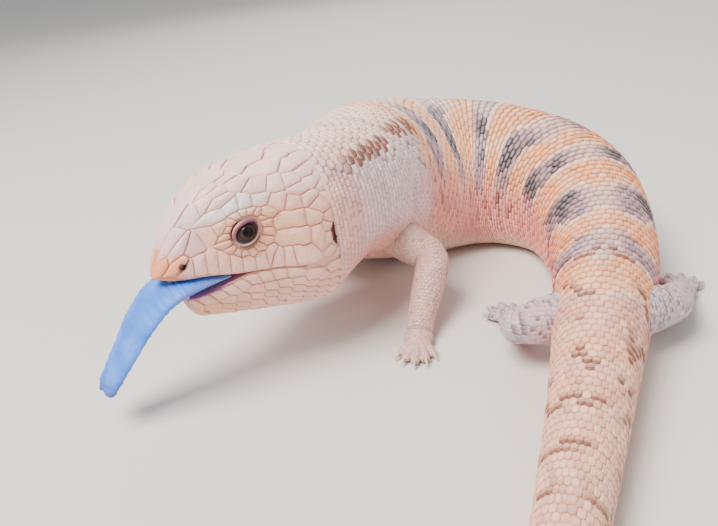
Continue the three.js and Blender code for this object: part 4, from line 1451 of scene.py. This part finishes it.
# materials
def addNode(tree, kind, settings=None, links=None):
    # one node with its properties or values, and what feeds it
    node = tree.nodes.new(kind)
    for key, value in (settings or {}).items():
        if isinstance(key, str) and hasattr(node, key):
            setattr(node, key, value)
        else:
            node.inputs[key].default_value = value
    for key, source in (links or {}).items():
        tree.links.new(source, node.inputs[key])
    return node


def newMaterial(name):
    material = bpy.data.materials.new(name)
    material.use_nodes = True
    material.node_tree.nodes.clear()
    return material, material.node_tree


def finishMaterial(tree, shader):
    out = addNode(tree, "ShaderNodeOutputMaterial")
    tree.links.new(shader.outputs[0], out.inputs["Surface"])


def scaleMaterial(name, roughness, relief):
    # keratin over living skin: satin, slightly see-through at thin edges
    material, tree = newMaterial(name)
    colour = addNode(tree, "ShaderNodeVertexColor", {"layer_name": "marking"})
    place = {"Vector": addNode(tree, "ShaderNodeTexCoord").outputs["Object"]}
    grain = addNode(tree, "ShaderNodeTexNoise", {"Scale": 1 / (0.9 * mm), "Detail": 4.0,
                                                 "Roughness": 0.6}, place)
    blotch = addNode(tree, "ShaderNodeTexNoise", {"Scale": 1 / (6 * mm), "Detail": 3.0}, place)
    light = addNode(tree, "ShaderNodeMapRange", {1: 0.3, 2: 0.7, 3: 0.9, 4: 1.08},
                    {0: grain.outputs["Fac"]})
    broad = addNode(tree, "ShaderNodeMapRange", {1: 0.3, 2: 0.7, 3: 0.95, 4: 1.05},
                    {0: blotch.outputs["Fac"]})
    both = addNode(tree, "ShaderNodeMath", {"operation": "MULTIPLY"},
                   {0: light.outputs[0], 1: broad.outputs[0]})
    tinted = addNode(tree, "ShaderNodeVectorMath", {"operation": "SCALE"},
                     {0: colour.outputs["Color"], "Scale": both.outputs[0]})
    rough = addNode(tree, "ShaderNodeMapRange", {1: 0.3, 2: 0.7, 3: roughness - 0.06,
                                                 4: roughness + 0.08}, {0: grain.outputs["Fac"]})
    wrinkle = addNode(tree, "ShaderNodeTexNoise", {"Scale": 1 / (0.45 * mm), "Detail": 3.0}, place)
    height = addNode(tree, "ShaderNodeMath", {"operation": "ADD"},
                     {0: grain.outputs["Fac"], 1: wrinkle.outputs["Fac"]})
    bumps = addNode(tree, "ShaderNodeBump", {"Strength": 0.5, "Distance": relief * mm},
                    {"Height": height.outputs[0]})
    shader = addNode(tree, "ShaderNodeBsdfPrincipled", {
        "Subsurface Weight": 0.12, "Subsurface Scale": 1.2 * mm,
        "Subsurface Radius": (1.0, 0.45, 0.3), "IOR": 1.5, "Coat Weight": 0.12,
        "Coat Roughness": 0.3},
        {"Base Color": tinted.outputs[0], "Roughness": rough.outputs[0],
         "Normal": bumps.outputs[0]})
    finishMaterial(tree, shader)
    return material


def wetMaterial(name, hexColour, roughness, pitch, relief):
    # wet flesh, or polished horn: a smooth shine over grain of a real pitch in millimetres.
    # Without a colour of its own it takes the painted one
    material, tree = newMaterial(name)
    place = {"Vector": addNode(tree, "ShaderNodeTexCoord").outputs["Object"]}
    grain = addNode(tree, "ShaderNodeTexNoise", {"Scale": 1 / (pitch * mm), "Detail": 4.0}, place)
    cells = addNode(tree, "ShaderNodeTexVoronoi", {"Scale": 1 / (pitch * 0.8 * mm)}, place)
    shade = addNode(tree, "ShaderNodeMapRange", {1: 0.3, 2: 0.7, 3: 0.88, 4: 1.1},
                    {0: grain.outputs["Fac"]})
    tinted = addNode(tree, "ShaderNodeVectorMath", {"operation": "SCALE"}, {"Scale": shade.outputs[0]})
    if hexColour:
        tinted.inputs[0].default_value = tuple(linear(hexColour))
    else:
        colour = addNode(tree, "ShaderNodeVertexColor", {"layer_name": "marking"})
        tree.links.new(colour.outputs["Color"], tinted.inputs[0])
    bumps = addNode(tree, "ShaderNodeBump", {"Strength": 0.6, "Distance": relief * mm},
                    {"Height": cells.outputs["Distance"]})
    shader = addNode(tree, "ShaderNodeBsdfPrincipled", {
        "Roughness": roughness, "Subsurface Weight": 0.15, "Subsurface Scale": 1.5 * mm,
        "Subsurface Radius": (0.8, 0.5, 0.6), "IOR": 1.38},
        {"Base Color": tinted.outputs[0], "Normal": bumps.outputs[0]})
    finishMaterial(tree, shader)
    return material


def eyeMaterial():
    # a dull iris seen through a wet, clear cornea: one small sharp highlight
    material, tree = newMaterial("cornea over iris")
    colour = addNode(tree, "ShaderNodeVertexColor", {"layer_name": "marking"})
    shader = addNode(tree, "ShaderNodeBsdfPrincipled", {
        "Roughness": 0.35, "IOR": 1.38, "Specular IOR Level": 0.12, "Coat Weight": 0.5,
        "Coat IOR": 1.33, "Coat Roughness": 0.02},
        {"Base Color": colour.outputs["Color"]})
    finishMaterial(tree, shader)
    return material


skinMaterial = scaleMaterial("lizard skin", 0.6, 0.1)
shieldMaterial = scaleMaterial("head keratin", 0.5, 0.09)
coatMaterial = scaleMaterial("body keratin", 0.44, 0.06)
tongueMaterial = wetMaterial("tongue velvet", None, 0.42, 0.55, 0.12)
liningMaterial = wetMaterial("mouth lining", "b4708c", 0.25, 1.2, 0.15)
clawMaterial = wetMaterial("claw horn", "d8c4ac", 0.35, 0.8, 0.05)
drumMaterial = wetMaterial("eardrum skin", "8a5e58", 0.5, 1.0, 0.1)

flesh = [name for name in nodes if name not in ("tongue", "eye_left", "eye_right")]
finishPiece(skin, skinMaterial)
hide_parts(*flesh)
for piece in [headShields, chinPlates]:
    finishPiece(piece, shieldMaterial)
for piece in coatPieces:
    finishPiece(piece, coatMaterial)
for piece in lidPieces.values():
    finishPiece(piece, shieldMaterial)
for side, piece in eyes.items():
    finishPiece(piece, eyeMaterial())
    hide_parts("eye_left" if side > 0 else "eye_right")
finishPiece(tongue, tongueMaterial)
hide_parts("tongue")
finishPiece(lining, liningMaterial)
finishPiece(claws, clawMaterial)
finishPiece(eardrums, drumMaterial)

# stage
print("stage")
floorBm = bmesh.new()
bmesh.ops.create_grid(floorBm, x_segments=1, y_segments=1, size=6)
floor = newObject("floor", floorBm, False)
floorMaterial, floorTree = newMaterial("pale matt board")
floorShader = addNode(floorTree, "ShaderNodeBsdfPrincipled", {
    "Base Color": (*linear("d9d6d0"), 1), "Roughness": 0.9})
finishMaterial(floorTree, floorShader)
floor.data.materials.append(floorMaterial)
floor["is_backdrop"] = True

camera = bpy.data.objects.new("camera", bpy.data.cameras.new("camera"))
bpy.context.scene.collection.objects.link(camera)
view = {"place": (-0.0569, -0.3127, 0.1416), "down": 26, "roll": -8, "lens": 35.1, "sensor": 36,
        "nearest": 0.01}
tiltDown = math.radians(view["down"])
rollTurn = math.radians(view["roll"])
ahead = Vector((0, math.cos(tiltDown), -math.sin(tiltDown)))
flatRight = Vector((1, 0, 0))
flatUp = Vector((0, math.sin(tiltDown), math.cos(tiltDown)))
right = flatRight * math.cos(rollTurn) + flatUp * math.sin(rollTurn)
up = flatUp * math.cos(rollTurn) - flatRight * math.sin(rollTurn)
facing = Matrix((right, up, -ahead)).transposed().to_4x4()
camera.matrix_world = Matrix.Translation(view["place"]) @ facing
camera.data.lens = view["lens"]
camera.data.sensor_width = view["sensor"]
camera.data.clip_start = view["nearest"]
bpy.context.scene.camera = camera

lightAim = Vector((-0.02, -0.08, 0.03))
lamps = [    # name, place, size in metres, watts, colour
    ("keyLight", (-0.45, -0.35, 0.95), 0.55, 24, (1.0, 0.93, 0.88)),
    ("fillLight", (0.75, -0.6, 0.55), 0.9, 3.5, (1.0, 0.96, 0.94)),
    ("backLight", (0.1, 0.9, 0.7), 0.8, 6, (1.0, 1.0, 1.0)),
]
for name, place, size, power, colour in lamps:
    light = bpy.data.lights.new(name, "AREA")
    light.size = size
    light.energy = power
    light.color = colour
    lamp = bpy.data.objects.new(name, light)
    bpy.context.scene.collection.objects.link(lamp)
    lamp.location = place
    lamp.rotation_euler = (lightAim - Vector(place)).to_track_quat("-Z", "Y").to_euler()
sky = {"colour": (0.92, 0.95, 1.0, 1), "strength": 0.56}
world = bpy.data.worlds.new("studio")
world.use_nodes = True
background = world.node_tree.nodes["Background"]
background.inputs[0].default_value = sky["colour"]
background.inputs[1].default_value = sky["strength"]
bpy.context.scene.world = world

sizes = [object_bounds(), cadBox]
({"visual": [list(map(float, corner)) for corner in sizes[0]],
           "cad": [list(map(float, corner)) for corner in sizes[1]]})
